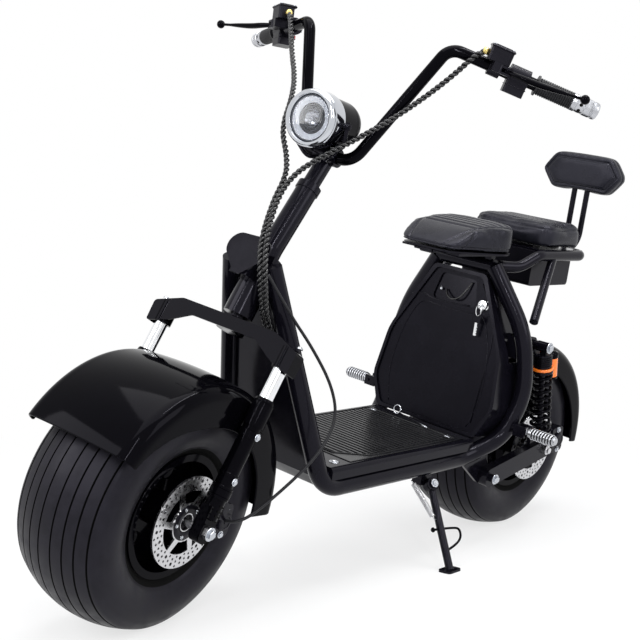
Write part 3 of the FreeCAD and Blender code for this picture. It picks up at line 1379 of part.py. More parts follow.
def unsteered(x, y, z):
    """A place beside the frame, as the front end sees it with its steering straight."""
    return steer_place().inverse().multVec(Vector(x, y, z))


def bar_mirror(point):
    return Vector(point.x, -point.y, point.z)


def loom_start():
    """The inner face of the left brake reservoir, where the loom leaves it."""
    return bar_point(PERCH_Y) + BAR_SIDE * 24 + BAR_UP * 20 - BAR_WAY * (24 + FIT)


def cable_loom():
    """The wrapped looms from both controls, joined in front of the stem."""
    start = loom_start()
    left = bent_rod([start, start - BAR_WAY * 30, Vector(140, 160, 1030),
                     Vector(192, 96, 916), Vector(262, 44, 842), Vector(318, 26, 770)],
                    LOOM_STRAND_RADIUS, (24, 60, 110, 130))
    right = bent_rod([bar_mirror(start), bar_mirror(start - BAR_WAY * 30), Vector(154, -150, 1020),
                      Vector(240, -78, 900), Vector(290, -18, 836), Vector(318, 20, 770)],
                     LOOM_STRAND_RADIUS, (24, 60, 110, 130))
    tail = bent_rod([Vector(318, 23, 772)] + [unsteered(*p) for p in LOOM_AT_FRAME],
                    LOOM_RADIUS, (90, 50, 60, 100))
    return fused([left, right, tail])


def brake_hose():
    """From the loom down behind the left leg, then forward to the caliper."""
    at_frame = [(386, 80, 648), (342, 104, 580), (300, 130, 524), (258, 158, 452), (252, 176, 390),
                (300, 182, 328)]
    caliper_face = FRONT_DISC_Y + CALIPER_WIDTH / 2 + FIT
    return bent_rod([unsteered(*p) for p in at_frame] + [
        Vector(404, 176, 262), Vector(474, 160, 222), Vector(474, caliper_face, 222)],
        HOSE_RADIUS, (200, 300, 120, 60, 90, 90, 22))


def build():
    left_peg = footpeg()
    return {
        # node: (shape, body)
        "frame_tubes": (frame_tubes(), "root"),
        "neck": (neck(), "root"),
        "front_panel": (front_panel(), "root"),
        "floor_box": (floor_box(), "root"),
        "battery": (battery(), "root"),
        "deck_plate": (deck_plate(), "root"),
        "deck_mat": (deck_mat(), "root"),
        "tower_shell": (tower_shell(), "root"),
        "tower_panel": (tower_panel(), "root"),
        "lock_and_key": (lock_and_key(), "root"),
        "saddle_base": (saddle_base(), "root"),
        "rear_rack": (rear_rack(), "root"),
        "rack_box": (rack_box(), "root"),
        "tail_lamp": (tail_lamp(), "root"),
        "passenger_seat": (passenger_seat(), "root"),
        "backrest_posts": (backrest_posts(), "root"),
        "backrest": (backrest(), "root"),
        "rear_fender": (rear_fender(), "root"),
        "swingarm": (swingarm(), "root"),
        "rear_axle": (axle_bar(REAR_AXLE, ARM_Y + ARM_GAUGE / 2), "root"),
        "shock_bodies": (shock_bodies(), "root"),
        "shock_springs": (shock_springs(), "root"),
        "shock_reservoirs": (shock_reservoirs(), "root"),
        "side_brackets": (side_brackets(), "root"),
        "fender_stay": (fender_stay(), "root"),
        "rear_caliper": (rear_caliper(), "root"),
        "stand_bracket": (stand_bracket(), "root"),
        "stand_spring": (stand_spring(), "side_stand"),
        "stand_leg": (stand_leg(), "side_stand"),
        "saddle_pan": (saddle_pan(), "saddle_lid"),
        "saddle": (saddle(), "saddle_lid"),
        "peg_left": (left_peg, "peg_left"),
        "peg_right": (mirror(left_peg), "peg_right"),
        "rear_tyre": (tyre(REAR_AXLE), "rear_wheel"),
        "rear_rim": (rear_rim(), "rear_wheel"),
        "rear_disc": (brake_disc(REAR_AXLE, REAR_DISC_Y), "rear_wheel"),
        "front_tyre": (tyre(FRONT_AXLE), "front_wheel"),
        "front_rim": (front_rim(), "front_wheel"),
        "front_disc": (brake_disc(FRONT_AXLE, FRONT_DISC_Y), "front_wheel"),
        "front_axle": (axle_bar(FRONT_AXLE, LEG_Y + LUG_GAUGE / 2), "steering"),
        "fork_lowers": (fork_lowers(), "steering"),
        "fork_stanchions": (fork_stanchions(), "steering"),
        "fork_bridge": (fork_bridge(), "steering"),
        "stem": (stem(), "steering"),
        "bar_clamp": (bar_clamp(), "steering"),
        "handlebar": (handlebar(), "steering"),
        "grips": (grips(), "steering"),
        "grip_caps": (grip_caps(), "steering"),
        "bar_controls": (bar_controls(), "steering"),
        "brake_levers": (brake_levers(), "steering"),
        "lamp_bucket": (lamp_bucket(), "steering"),
        "lamp_bezel": (lamp_bezel(), "steering"),
        "lamp_lens": (lamp_lens(), "steering"),
        "front_fender": (front_fender(), "steering"),
        "front_caliper": (front_caliper(), "steering"),
        "cable_loom": (cable_loom(), "steering"),
        "brake_hose": (brake_hose(), "steering"),
    }


# Rest position

STEERED = ("steering", "front_wheel")


def steer_place():
    turn = Rotation(STEER_AXIS, STEER_REST)
    return Placement(STEER_POINT, turn).multiply(Placement(-STEER_POINT, Rotation()))


def lowest_of_wheel(hub, axis):
    """The lowest height of a tyre's round crown, from its hub and its axle's direction."""
    hoop = TYRE_RADIUS - CROWN_RADIUS
    return hub.z - hoop * math.sqrt(1 - axis.z ** 2) - CROWN_RADIUS


def rest_place():
    """Lean about the rear tyre, then pitch and drop until both tyres touch the floor."""
    steer = steer_place()
    front_hub = steer.multVec(FRONT_AXLE)
    front_way = steer.Rotation.multVec(Y_AXIS)
    lean = Rotation(Vector(1, 0, 0), -LEAN_REST)
    pitch = 0.0
    for _ in range(12):
        turn = Rotation(Y_AXIS, pitch).multiply(lean)
        front = lowest_of_wheel(turn.multVec(front_hub), turn.multVec(front_way))
        rear = lowest_of_wheel(turn.multVec(REAR_AXLE), turn.multVec(Y_AXIS))
        pitch += math.degrees((front - rear) / WHEEL_BASE)
    return Placement(Vector(0, 0, -rear), turn)


def main():
    os.makedirs("parts", exist_ok=True)
    pieces = build()
    steer, rest = steer_place(), rest_place()
    placed = {}
    for name, (shape, body) in pieces.items():
        shape = shape.copy()
        if body in STEERED:
            shape.Placement = steer.multiply(shape.Placement)
        shape.Placement = rest.multiply(shape.Placement)
        placed[name] = shape
    whole = FreeCAD.BoundBox()
    for shape in placed.values():
        whole.add(shape.optimalBoundingBox(False, False))
    shift = Vector(-whole.Center.x, -whole.Center.y, 0)
    for name, shape in placed.items():
        shape.translate(shift)
        shape.exportStep("parts/%s.step" % name)
    return placed, steer, rest, shift


if __name__ == "__main__":
    main()
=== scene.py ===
import json
import math
from itertools import product

import bpy
import numpy as np
from mathutils import Matrix, Vector

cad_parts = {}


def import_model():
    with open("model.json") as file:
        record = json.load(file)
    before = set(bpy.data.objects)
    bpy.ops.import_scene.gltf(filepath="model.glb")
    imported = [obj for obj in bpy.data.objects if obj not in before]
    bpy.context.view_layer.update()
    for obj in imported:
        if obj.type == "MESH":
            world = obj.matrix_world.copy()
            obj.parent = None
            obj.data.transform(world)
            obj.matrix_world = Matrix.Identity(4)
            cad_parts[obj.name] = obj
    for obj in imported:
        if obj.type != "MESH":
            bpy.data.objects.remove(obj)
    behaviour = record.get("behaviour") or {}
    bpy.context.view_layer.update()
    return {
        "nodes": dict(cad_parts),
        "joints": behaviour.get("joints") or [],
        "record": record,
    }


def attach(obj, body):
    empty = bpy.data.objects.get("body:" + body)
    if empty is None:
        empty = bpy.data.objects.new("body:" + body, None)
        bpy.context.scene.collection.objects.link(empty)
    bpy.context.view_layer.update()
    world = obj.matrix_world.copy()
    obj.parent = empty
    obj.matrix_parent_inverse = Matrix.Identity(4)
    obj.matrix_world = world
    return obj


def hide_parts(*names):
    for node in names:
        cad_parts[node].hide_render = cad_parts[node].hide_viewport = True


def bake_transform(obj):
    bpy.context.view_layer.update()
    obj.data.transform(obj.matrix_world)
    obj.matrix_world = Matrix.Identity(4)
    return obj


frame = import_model()
NODES = frame["nodes"]

# Sizes in millimetres on an upright scooter that steers straight ahead, as in the CAD source.
MM = 0.001
RAKE = math.radians(27.4)
STEER_REST = math.radians(9.0)
AXLE_LEAD = 10.0
FRONT_AXLE = Vector((550, 0, 226))
REAR_AXLE = Vector((-550, 0, 226))
FRONT_DISC_Y, REAR_DISC_Y = 107.0, 126.0
FORK_UP = Vector((-math.sin(RAKE), 0, math.cos(RAKE)))
FORK_FORWARD = Vector((math.cos(RAKE), 0, math.sin(RAKE)))
STEER_POINT = FRONT_AXLE - FORK_FORWARD * AXLE_LEAD
X_WAY, Y_WAY, Z_WAY = Vector((1, 0, 0)), Vector((0, 1, 0)), Vector((0, 0, 1))


def upright_place():
    """The matrix that leans the upright scooter to its rest place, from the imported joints."""
    joint = {j["name"]: j for j in frame["joints"]}
    left = Vector(joint["rear_wheel"]["axis"]).normalized()
    head = Vector(joint["steering"]["axis"]).normalized()
    across = left.cross(head)
    ahead = across * math.cos(RAKE) - head * math.sin(RAKE)
    up = across * math.sin(RAKE) + head * math.cos(RAKE)
    turn = Matrix((ahead, left, up)).transposed().to_4x4()
    hub = Vector(joint["rear_wheel"]["pos_m"])
    return Matrix.Translation(hub - turn @ (REAR_AXLE * MM)) @ turn @ Matrix.Scale(MM, 4)


def steer_place():
    """The turn of the bar at rest, about the steering axis."""
    turn = Matrix.Rotation(STEER_REST, 4, FORK_UP)
    return Matrix.Translation(STEER_POINT) @ turn @ Matrix.Translation(-STEER_POINT)


UPRIGHT = upright_place()
STEERED = UPRIGHT @ steer_place()


def place_of(body):
    """The matrix from the upright scooter to a body's place at rest."""
    return STEERED if body in ("steering", "front_wheel") else UPRIGHT


def fork(forward, left, up):
    """A point given from the front axle, along the raked fork."""
    return FRONT_AXLE + FORK_FORWARD * forward + Y_WAY * left + FORK_UP * up


# Materials


def set_inputs(node, **values):
    """Sets a node's inputs. A _ stands for a space in an input's name."""
    for name, value in values.items():
        node.inputs[name.replace("_", " ")].default_value = value
    return node


def add_node(tree, kind, **values):
    return set_inputs(tree.nodes.new("ShaderNode" + kind), **values)


def surface(name, colour, rough, metallic=0.0, coat=0.0, specular=0.5, mottle=0.15,
            mottle_size=60.0, rough_vary=0.06, grain=0.0, grain_size=1.2, cells=False, tint=None):
    """A surface with mottled colour and roughness and a fine grain, sizes in millimetres."""
    made = bpy.data.materials.new(name)
    made.use_nodes = True
    tree = made.node_tree
    link = tree.links.new
    shader = set_inputs(tree.nodes["Principled BSDF"], Metallic=metallic, Coat_Weight=coat,
                        Coat_Roughness=0.04, Specular_IOR_Level=specular)
    if tint:
        shader.inputs["Specular Tint"].default_value = (*tint, 1)
    place = add_node(tree, "TexCoord")
    cloud = add_node(tree, "TexNoise", Scale=1 / (mottle_size * MM), Detail=6.0)
    link(place.outputs["Object"], cloud.inputs["Vector"])
    ramp = add_node(tree, "ValToRGB")
    for stop, position, share in zip(ramp.color_ramp.elements, (0.3, 0.7), (1 - mottle, 1 + mottle)):
        stop.position = position
        stop.color = (*[min(1, c * share) for c in colour], 1)
    link(cloud.outputs["Fac"], ramp.inputs["Fac"])
    link(ramp.outputs["Color"], shader.inputs["Base Color"])
    span = add_node(tree, "MapRange", From_Min=0.3, From_Max=0.7, To_Min=max(0.02, rough - rough_vary),
                    To_Max=min(1.0, rough + rough_vary))
    link(cloud.outputs["Fac"], span.inputs["Value"])
    link(span.outputs["Result"], shader.inputs["Roughness"])
    if grain:
        fine = add_node(tree, "TexVoronoi" if cells else "TexNoise", Scale=1 / (grain_size * MM))
        link(place.outputs["Object"], fine.inputs["Vector"])
        bump = add_node(tree, "Bump", Strength=0.5, Distance=grain * MM)
        link(fine.outputs["Distance" if cells else "Fac"], bump.inputs["Height"])
        link(bump.outputs["Normal"], shader.inputs["Normal"])
    return made


# The photo's blacks shine cool.
COOL = (0.86, 0.84, 1.0)
FRAME_PAINT = surface("frame_paint", (0.0036, 0.0033, 0.0056), 0.16, specular=0.15,
                      grain=0.04, grain_size=1.5, tint=COOL)
GLOSS_BLACK = surface("gloss_black", (0.0012, 0.0011, 0.0018), 0.07, specular=0.045,
                      rough_vary=0.02, grain=0.01, grain_size=9.0, tint=COOL)
BLACK_PLASTIC = surface("black_plastic", (0.005, 0.0047, 0.007), 0.34, specular=0.15,
                        grain=0.08, grain_size=0.9, tint=COOL)
PANEL_PLASTIC = surface("panel_plastic", (0.003, 0.0027, 0.0048), 0.26, specular=0.1,
                        grain=0.1, grain_size=0.8, tint=COOL)
VINYL = surface("seat_vinyl", (0.0085, 0.0088, 0.0125), 0.29, specular=0.22, mottle=0.2,
                mottle_size=40.0, grain=0.2, grain_size=1.6, cells=True, tint=COOL)
TYRE = surface("tyre_rubber", (0.0075, 0.007, 0.0098), 0.4, specular=0.16, mottle=0.3,
               mottle_size=25.0, rough_vary=0.1, grain=0.12, grain_size=1.0, tint=COOL)
# A darker, rougher rubber painted as shade into groove floors, and onto flat patches that stand in for holes
# and slots.
RECESS_SHADE = surface("painted_recess_shade", (0.002, 0.002, 0.002), 0.8, specular=0.1, grain=0.1)
RUBBER = surface("soft_rubber", (0.008, 0.008, 0.010), 0.42, specular=0.25, grain=0.1)
MAT_RUBBER = surface("mat_rubber", (0.005, 0.005, 0.0065), 0.27, specular=0.35, grain=0.06)
LOOM_WRAP = surface("loom_wrap", (0.004, 0.004, 0.005), 0.22, specular=0.55, grain=0.02)
CHROME = surface("chrome", (0.82, 0.83, 0.85), 0.08, metallic=1.0, mottle=0.03, rough_vary=0.03,
                 grain=0.01, grain_size=3.0)
BEZEL_CHROME = surface("bezel_chrome", (0.56, 0.58, 0.62), 0.07, metallic=1.0, mottle=0.05,
                       rough_vary=0.03, grain=0.01, grain_size=3.0)
REFLECTOR = surface("lamp_reflector", (0.33, 0.34, 0.37), 0.12, metallic=1.0, mottle=0.3,
                    mottle_size=6.0, grain=0.05, grain_size=2.0)
LAMP_DARK = surface("lamp_dark", (0.045, 0.05, 0.062), 0.4, specular=0.2, mottle=0.2, grain=0.05)
STEEL = surface("ground_steel", (0.62, 0.62, 0.64), 0.28, metallic=1.0, mottle=0.08,
                mottle_size=12.0, grain=0.05, grain_size=0.6)
ALLOY = surface("cast_alloy", (0.5, 0.51, 0.54), 0.26, metallic=1.0, mottle=0.08,
                mottle_size=10.0, grain=0.12, grain_size=0.8)
ZINC = surface("zinc_bolts", (0.52, 0.54, 0.58), 0.22, metallic=1.0, mottle=0.1,
               mottle_size=6.0, grain=0.04, grain_size=0.7)
ORANGE = surface("orange_anodised", (0.95, 0.20, 0.012), 0.3, coat=0.4, mottle=0.06, grain=0.02)
RED = surface("red_lens", (0.5, 0.01, 0.01), 0.15, coat=0.5, mottle=0.1, grain=0.05, grain_size=3.0)
WHITE = surface("halo_ring", (0.85, 0.88, 0.95), 0.35, mottle=0.03, grain=0.02)
BRASS = surface("brass_ends", (0.7, 0.55, 0.2), 0.3, metallic=1.0, mottle=0.1, grain=0.03)


def glass():
    """Clear glass with a faint ripple in its polish."""
    made = bpy.data.materials.new("clear_glass")
    made.use_nodes = True
    tree = made.node_tree
    shader = set_inputs(tree.nodes["Principled BSDF"], Base_Color=(0.97, 0.98, 1.0, 1),
                        Transmission_Weight=1.0, IOR=1.3)
    place = add_node(tree, "TexCoord")
    ripple = add_node(tree, "TexNoise", Scale=40.0)
    span = add_node(tree, "MapRange", To_Min=0.01, To_Max=0.05)
    tree.links.new(place.outputs["Object"], ripple.inputs["Vector"])
    tree.links.new(ripple.outputs["Fac"], span.inputs["Value"])
    tree.links.new(span.outputs["Result"], shader.inputs["Roughness"])
    return made


GLASS = glass()

SLOT_FINISH = {
    "gloss_black": GLOSS_BLACK, "frame_paint": FRAME_PAINT, "black_plastic": BLACK_PLASTIC,
    "seat_vinyl": VINYL, "tyre_rubber": TYRE, "soft_rubber": RUBBER, "bright_chrome": CHROME,
    "bare_steel": STEEL, "bare_alloy": ALLOY, "orange_paint": ORANGE, "clear_lens": GLASS,
    "red_lens": RED,
}
NODE_FINISH = {
    "front_rim": GLOSS_BLACK, "rear_rim": GLOSS_BLACK, "tower_panel": PANEL_PLASTIC,
    "fork_lowers": GLOSS_BLACK, "fork_bridge": GLOSS_BLACK, "handlebar": GLOSS_BLACK,
    "brake_levers": GLOSS_BLACK,
}


def finish_nodes():
    """Gives each CAD solid that shows its finish."""
    slots = {row["node"]: row["material_slot"] for row in frame["record"]["subparts"]}
    for name, node in NODES.items():
        node.data.materials.clear()
        node.data.materials.append(NODE_FINISH.get(name, SLOT_FINISH[slots[name]]))


# Mesh helpers. A shape is (points, faces) in millimetres on the upright scooter.


def linked(name, data):
    """A new object in the scene."""
    made = bpy.data.objects.new(name, data)
    bpy.context.scene.collection.objects.link(made)
    return made


def mesh_of(name, shape, body):
    points, faces = shape
    mesh = bpy.data.meshes.new(name)
    mesh.from_pydata([tuple(p) for p in points], [], [tuple(f) for f in faces])
    mesh.transform(place_of(body))
    mesh.update()
    return mesh


def piece(name, shape, body, material, crisp=None, stands_for=None, flat=False, rides=True):
    """A new mesh. crisp is the angle in degrees past which its edges stay sharp."""
    mesh = mesh_of(name, shape, body)
    if not flat:
        mesh.polygons.foreach_set("use_smooth", [True] * len(mesh.polygons))
    made = linked(name, mesh)
    mesh.materials.append(material)
    if rides:
        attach(made, body)
    if crisp:
        sharpen(mesh, crisp)
    if stands_for:
        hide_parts(stands_for)
    return made


def sharpen(mesh, degrees):
    """Keeps edges sharper than an angle crisp."""
    limit = math.radians(degrees)
    normals_at = {}
    for face in mesh.polygons:
        for key in face.edge_keys:
            normals_at.setdefault(key, []).append(face.normal)
    sharp = mesh.attributes.get("sharp_edge") or mesh.attributes.new("sharp_edge", "BOOLEAN", "EDGE")
    values = []
    for edge in mesh.edges:
        normals = normals_at.get(edge.key, [])
        values.append(len(normals) == 2 and normals[0].angle(normals[1], 0) > limit)
    sharp.data.foreach_set("value", values)


def joined(shapes):
    """Several shapes as one."""
    points, faces = [], []
    for more_points, more_faces in shapes:
        base = len(points)
        points += [tuple(p) for p in more_points]
        faces += [tuple(i + base for i in face) for face in more_faces]
    return points, faces


def flip_y(point):
    return Vector((point[0], -point[1], point[2]))


def pair(shapes):
    """Shapes on the left side with their mirror images on the right."""
    points, faces = joined(shapes)
    return joined([(points, faces), ([flip_y(p) for p in points], [f[::-1] for f in faces])])


def turns(count):
    """Angles evenly round a circle."""
    return [2 * math.pi * k / count for k in range(count)]


def basis(way, hint=None):
    """Two directions square to a way."""
    way = Vector(way).normalized()
    hint = hint or (Z_WAY if abs(way.z) < 0.9 else X_WAY)
    first = (hint - way * hint.dot(way)).normalized()
    return first, way.cross(first)


def lathe(profile, centre, way, count, closed=False, hint=None):
    """(radius, height) points turned about an axis. A radius of 0 ends in a fan."""
    first, second = basis(way, hint)
    way, centre = Vector(way).normalized(), Vector(centre)
    points = [centre + way * height + (first * math.cos(angle) + second * math.sin(angle)) * radius
              for radius, height in profile for angle in turns(count)]
    faces = []
    rows = len(profile)
    for row in range(rows if closed else rows - 1):
        after = (row + 1) % rows
        for step in range(count):
            ahead = (step + 1) % count
            faces.append((row * count + step, row * count + ahead, after * count + ahead,
                          after * count + step))
    if not closed:
        for row in (0, rows - 1):
            if profile[row][0] > 1e-6:
                ring = [row * count + step for step in range(count)]
                faces.append(ring if row else ring[::-1])
    return merged(points, faces)


def merged(points, faces):
    """Drops points that lie on each other and faces that this makes thin."""
    seen, index, kept = {}, [], []
    for point in points:
        key = tuple(round(c, 4) for c in point)
        if key not in seen:
            seen[key] = len(kept)
            kept.append(point)
        index.append(seen[key])
    clean = []
    for face in faces:
        ring = []
        for i in face:
            if not ring or index[i] != ring[-1]:
                ring.append(index[i])
        if len(ring) > 1 and ring[0] == ring[-1]:
            ring.pop()
        if len(set(ring)) > 2:
            clean.append(ring)
    return kept, clean


def sweep(path, radius, sides, wide=1.0, hint=None, closed=False):
    """A tube along points. radius is a number or a function of the share of the path."""
    path = [Vector(p) for p in path]
    count = len(path)
    points, faces = [], []
    first = None
    for index in range(count):
        before = path[index - 1] if index or closed else path[0]
        after = path[(index + 1) % count] if index < count - 1 or closed else path[-1]
        way = (after - before).normalized()
        if first is None:
            first, _ = basis(way, hint)
        first = (first - way * first.dot(way)).normalized()
        second = way.cross(first)
        size = radius(index / (count - 1)) if callable(radius) else radius
        for angle in turns(sides):
            points.append(path[index] + first * math.cos(angle) * size
                          + second * math.sin(angle) * size * wide)
    for index in range(count if closed else count - 1):
        low, high = index * sides, ((index + 1) % count) * sides
        for step in range(sides):
            ahead = (step + 1) % sides
            faces.append((low + step, low + ahead, high + ahead, high + step))
    if not closed:
        faces.append(list(range(sides))[::-1])
        faces.append(list(range((count - 1) * sides, count * sides)))
    return points, faces


def spline(points, resolution):
    """Points along a smooth line that has the given control points."""
    curve = bpy.data.curves.new("route", "CURVE")
    curve.dimensions = "3D"
    line = curve.splines.new("NURBS")
    line.points.add(len(points) - 1)
    for made, point in zip(line.points, points):
        made.co = (*point, 1)
    line.order_u = 3
    line.use_endpoint_u = True
    line.resolution_u = resolution
    obj = linked("route", curve)
    bpy.context.view_layer.update()
    mesh = bpy.data.meshes.new_from_object(obj)
    found = [v.co.copy() for v in mesh.vertices]
    bpy.data.objects.remove(obj)
    bpy.data.meshes.remove(mesh)
    return found


def even(path, step):
    """The same line with points an even step apart."""
    line = np.array([tuple(p) for p in path])
    runs = np.linalg.norm(np.diff(line, axis=0), axis=1)
    along = np.concatenate([[0], np.cumsum(runs)])
    count = max(2, int(along[-1] / step) + 1)
    at = np.linspace(0, along[-1], count)
    return [Vector([np.interp(t, along, line[:, k]) for k in range(3)]) for t in at]


def helix(start, end, radius, rounds, wire, steps, sides):
    """A coil of wire between two points."""
    first, second = basis(end - start)
    count = int(rounds * steps)
    path = []
    for index in range(count + 1):
        share = index / count
        angle = 2 * math.pi * rounds * share
        path.append(start.lerp(end, share)
                    + (first * math.cos(angle) + second * math.sin(angle)) * radius)
    return sweep(path, wire, sides)


def box(low, high, bevel):
    """A block with chamfered edges."""
    low, high = Vector(low), Vector(high)
    middle, half = (low + high) / 2, (high - low) / 2
    corners = list(product((-1, 1), repeat=3))
    points, faces = [], []
    for signs, axis in product(corners, range(3)):
        corner = [s * h for s, h in zip(signs, half)]
        for other in range(3):
            if other != axis:
                corner[other] -= math.copysign(bevel, corner[other])
        points.append(middle + Vector(corner))

    def at(signs, axis):
        return corners.index(tuple(signs)) * 3 + axis

    for axis in range(3):
        one, two = [k for k in range(3) if k != axis]

        def corner_at(side, a, b):
            signs = [0, 0, 0]
            signs[axis], signs[one], signs[two] = side, a, b
            return signs

        for side in (-1, 1):
            ring = [at(corner_at(side, a, b), axis) for a, b in ((-1, -1), (1, -1), (1, 1), (-1, 1))]
            faces.append(ring if side * (-1 if axis == 1 else 1) > 0 else ring[::-1])
        for a, b in product((-1, 1), repeat=2):
            faces.append([at(corner_at(side, a, b), face)
                          for side, face in ((-1, one), (1, one), (1, two), (-1, two))])
    faces += [[at(signs, axis) for axis in range(3)] for signs in corners]
    return points, faces


def turned_to(shape, origin, x_way, y_way):
    """A shape drawn about the origin, set in place with its X and Y along the given ways."""
    x_way, y_way = x_way.normalized(), y_way.normalized()
    z_way = x_way.cross(y_way)
    points, faces = shape
    return [origin + x_way * p[0] + y_way * p[1] + z_way * p[2] for p in points], faces


def bolt(at, way, size, head):
    """A hexagon bolt head with a washer, seated at a point."""
    hexagon = [(0, head), (size * 0.86, head), (size, head * 0.82), (size, 0.0)]
    washer = [(size * 1.35, 0), (size * 1.45, 0.4), (size * 1.4, 1.4), (size * 0.7, 1.5)]
    return joined([lathe(hexagon, at, way, 6), lathe(washer, at, way, 24)])


def capscrew(at, way, size, head):
    """A round screw head with a socket."""
    profile = [(size, 0), (size, head * 0.85), (size * 0.9, head), (size * 0.55, head),
               (size * 0.5, head * 0.5), (0, head * 0.5)]
    return lathe(profile, at, way, 18)


# Wheels


def arc_point(start, middle, end, share):
    """A point on the circle through three (u, v) points."""
    (ax, ay), (bx, by), (cx, cy) = start, middle, end
    a2, b2, c2 = ax**2 + ay**2, bx**2 + by**2, cx**2 + cy**2
    d = 2 * (ax * (by - cy) + bx * (cy - ay) + cx * (ay - by))
    ux = (a2 * (by - cy) + b2 * (cy - ay) + c2 * (ay - by)) / d
    uy = (a2 * (cx - bx) + b2 * (ax - cx) + c2 * (bx - ax)) / d
    radius = math.hypot(ax - ux, ay - uy)
    first, between, last = (math.atan2(p[1] - uy, p[0] - ux) for p in (start, middle, end))
    full = (last - first) % (2 * math.pi)
    if (between - first) % (2 * math.pi) > full:
        full -= 2 * math.pi
    angle = first + full * share
    return ux + radius * math.cos(angle), uy + radius * math.sin(angle)


TYRE_RADIUS, TYRE_HALF, CROWN, TREAD_HALF = 226.0, 102.0, 205.0, 88.0
GROOVES = (-82.0, -60.0, -38.0, -14.0, 14.0, 38.0, 60.0, 82.0)
GROOVE_HALF, GROOVE_DEPTH = 1.6, 4.5


def crown(y):
    """The tread's radius at a distance from its middle."""
    return TYRE_RADIUS - CROWN + math.sqrt(CROWN**2 - y**2)


def tyre(name, node, axle, body):
    """A tyre with grooves round its tread and fine rings on its walls, with painted shade darkening the
    groove floors.
    """
    shoulder = crown(TREAD_HALF)
    wall = []
    for k in range(22):
        radius, y = arc_point((119, 79), (165, TYRE_HALF), (shoulder, TREAD_HALF), k / 22)
        relief = 0.9 * math.exp(-((radius - 134) / 2.2) ** 2) - 0.8 * math.exp(-((radius - 141) / 1.8) ** 2)
        relief += 0.7 * math.exp(-((radius - 192) / 2.5) ** 2)
        wall.append((radius, y + relief))
    left = [(108.3, 66.0), (108.3, 78.4), (117.0, 78.7)] + wall
    profile = [(r, -y) for r, y in left] + [(shoulder, -TREAD_HALF)]
    y = -TREAD_HALF
    floor_half = GROOVE_HALF * 0.8
    for middle in GROOVES:
        run = middle - GROOVE_HALF - y
        profile += [(crown(y + run * k / 3.0), y + run * k / 3.0) for k in range(1, 4)]
        profile += [(crown(middle) - GROOVE_DEPTH, middle + edge) for edge in (-floor_half, floor_half)]
        y = middle + GROOVE_HALF
        profile.append((crown(y), y))
    profile += [(shoulder, TREAD_HALF)] + left[::-1] + [(150.0, 60.0), (150.0, -60.0)]
    shape = lathe(profile, axle, Y_WAY, 160, closed=True, hint=Z_WAY)
    made = piece(name, shape, body, TYRE, crisp=35, stands_for=node)
    # The faces deep in the grooves take the darker rubber: painted shade.
    made.data.materials.append(RECESS_SHADE)
    inverse = place_of(body).inverted()
    for face in made.data.polygons:
        centre = inverse @ face.center - axle
        radius = math.hypot(centre.x, centre.z)
        if abs(centre.y) < TREAD_HALF and radius < crown(centre.y) - GROOVE_DEPTH * 0.3:
            face.material_index = 1


WHEELS = (("front", FRONT_AXLE, FRONT_DISC_Y), ("rear", REAR_AXLE, REAR_DISC_Y))
SCREW_CIRCLE = 27


def wheels():
    for end, axle, _ in WHEELS:
        tyre(end + "_tyre_treaded", end + "_tyre", axle, end + "_wheel")
    for end, axle, disc_y in WHEELS:
        places = [Vector((math.cos(t) * SCREW_CIRCLE, disc_y + 2, math.sin(t) * SCREW_CIRCLE))
                  for t in turns(5)]
        screws = [capscrew(axle + at, Y_WAY, 3.6, 2.6) for at in places]
        piece(end + "_disc_screws", joined(screws), end + "_wheel", ZINC)
        hub = lathe([(17, 2.05), (33.5, 2.05), (33.2, 2.7), (17.4, 2.7)], axle + Y_WAY * disc_y, Y_WAY, 60,
                    closed=True)
        piece(end + "_disc_hub_ring", hub, end + "_wheel", BLACK_PLASTIC)
    for end, axle, disc_y in WHEELS:
        drilled(end + "_disc_drilled", end + "_disc", axle, disc_y, end + "_wheel")


def drilled(name, node, axle, disc_y, body):
    """The brake disc with rows of small holes between the cast ones."""
    hole_radius, depth, steps = 2.3, 10, 20
    half_step = 180 / steps
    cutters = []
    for index in range(steps):
        rows = [(half_step, radius) for radius in (63.2, 72.2, 81.0)]
        for turn, radius in [(0, 76.7 if index % 2 else 67.6)] + rows:
            angle = math.radians(2 * half_step * index + turn)
            at = axle + Vector((math.cos(angle) * radius, disc_y - depth / 2, math.sin(angle) * radius))
            cutters.append(lathe([(0, 0), (hole_radius, 0), (hole_radius, depth), (0, depth)], at, Y_WAY, 10))
    made = linked(name, NODES[node].data.copy())
    cutter = linked("cutters", mesh_of("cutters", joined(cutters), body))
    drill = made.modifiers.new("drill", "BOOLEAN")
    drill.operation = "DIFFERENCE"
    drill.object = cutter
    drill.solver = "EXACT"
    made.data = evaluated(made)
    made.modifiers.clear()
    bpy.data.objects.remove(cutter)
    made.data.materials.clear()
    made.data.materials.append(STEEL)
    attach(made, body)
    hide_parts(node)


# Seats


def smoothstep(low, high, value):
    share = np.clip((value - low) / (high - low), 0, 1)
    return share * share * (3 - 2 * share)


def evaluated(obj):
    """The mesh of an object with its modifiers applied."""
    bpy.context.view_layer.update()
    graph = bpy.context.evaluated_depsgraph_get()
    return bpy.data.meshes.new_from_object(obj.evaluated_get(graph))


def mesh_array(mesh, what):
    """The mesh's points ("co") or normals ("normal") as rows."""
    flat = np.zeros(len(mesh.vertices) * 3, np.float32)
    mesh.vertices.foreach_get(what, flat)
    return flat.reshape(-1, 3).astype(float)


def set_points(mesh, points):
    mesh.vertices.foreach_set("co", points.astype(np.float32).ravel())
    mesh.update()


def placed(points, matrix):
    """Rows of points moved by a matrix."""
    return points @ np.array(matrix.to_3x3()).T + np.array(matrix.translation)


def smoothed(obj, rounds):
    relax = obj.modifiers.new("relax", "SMOOTH")
    relax.factor = 0.5
    relax.iterations = rounds


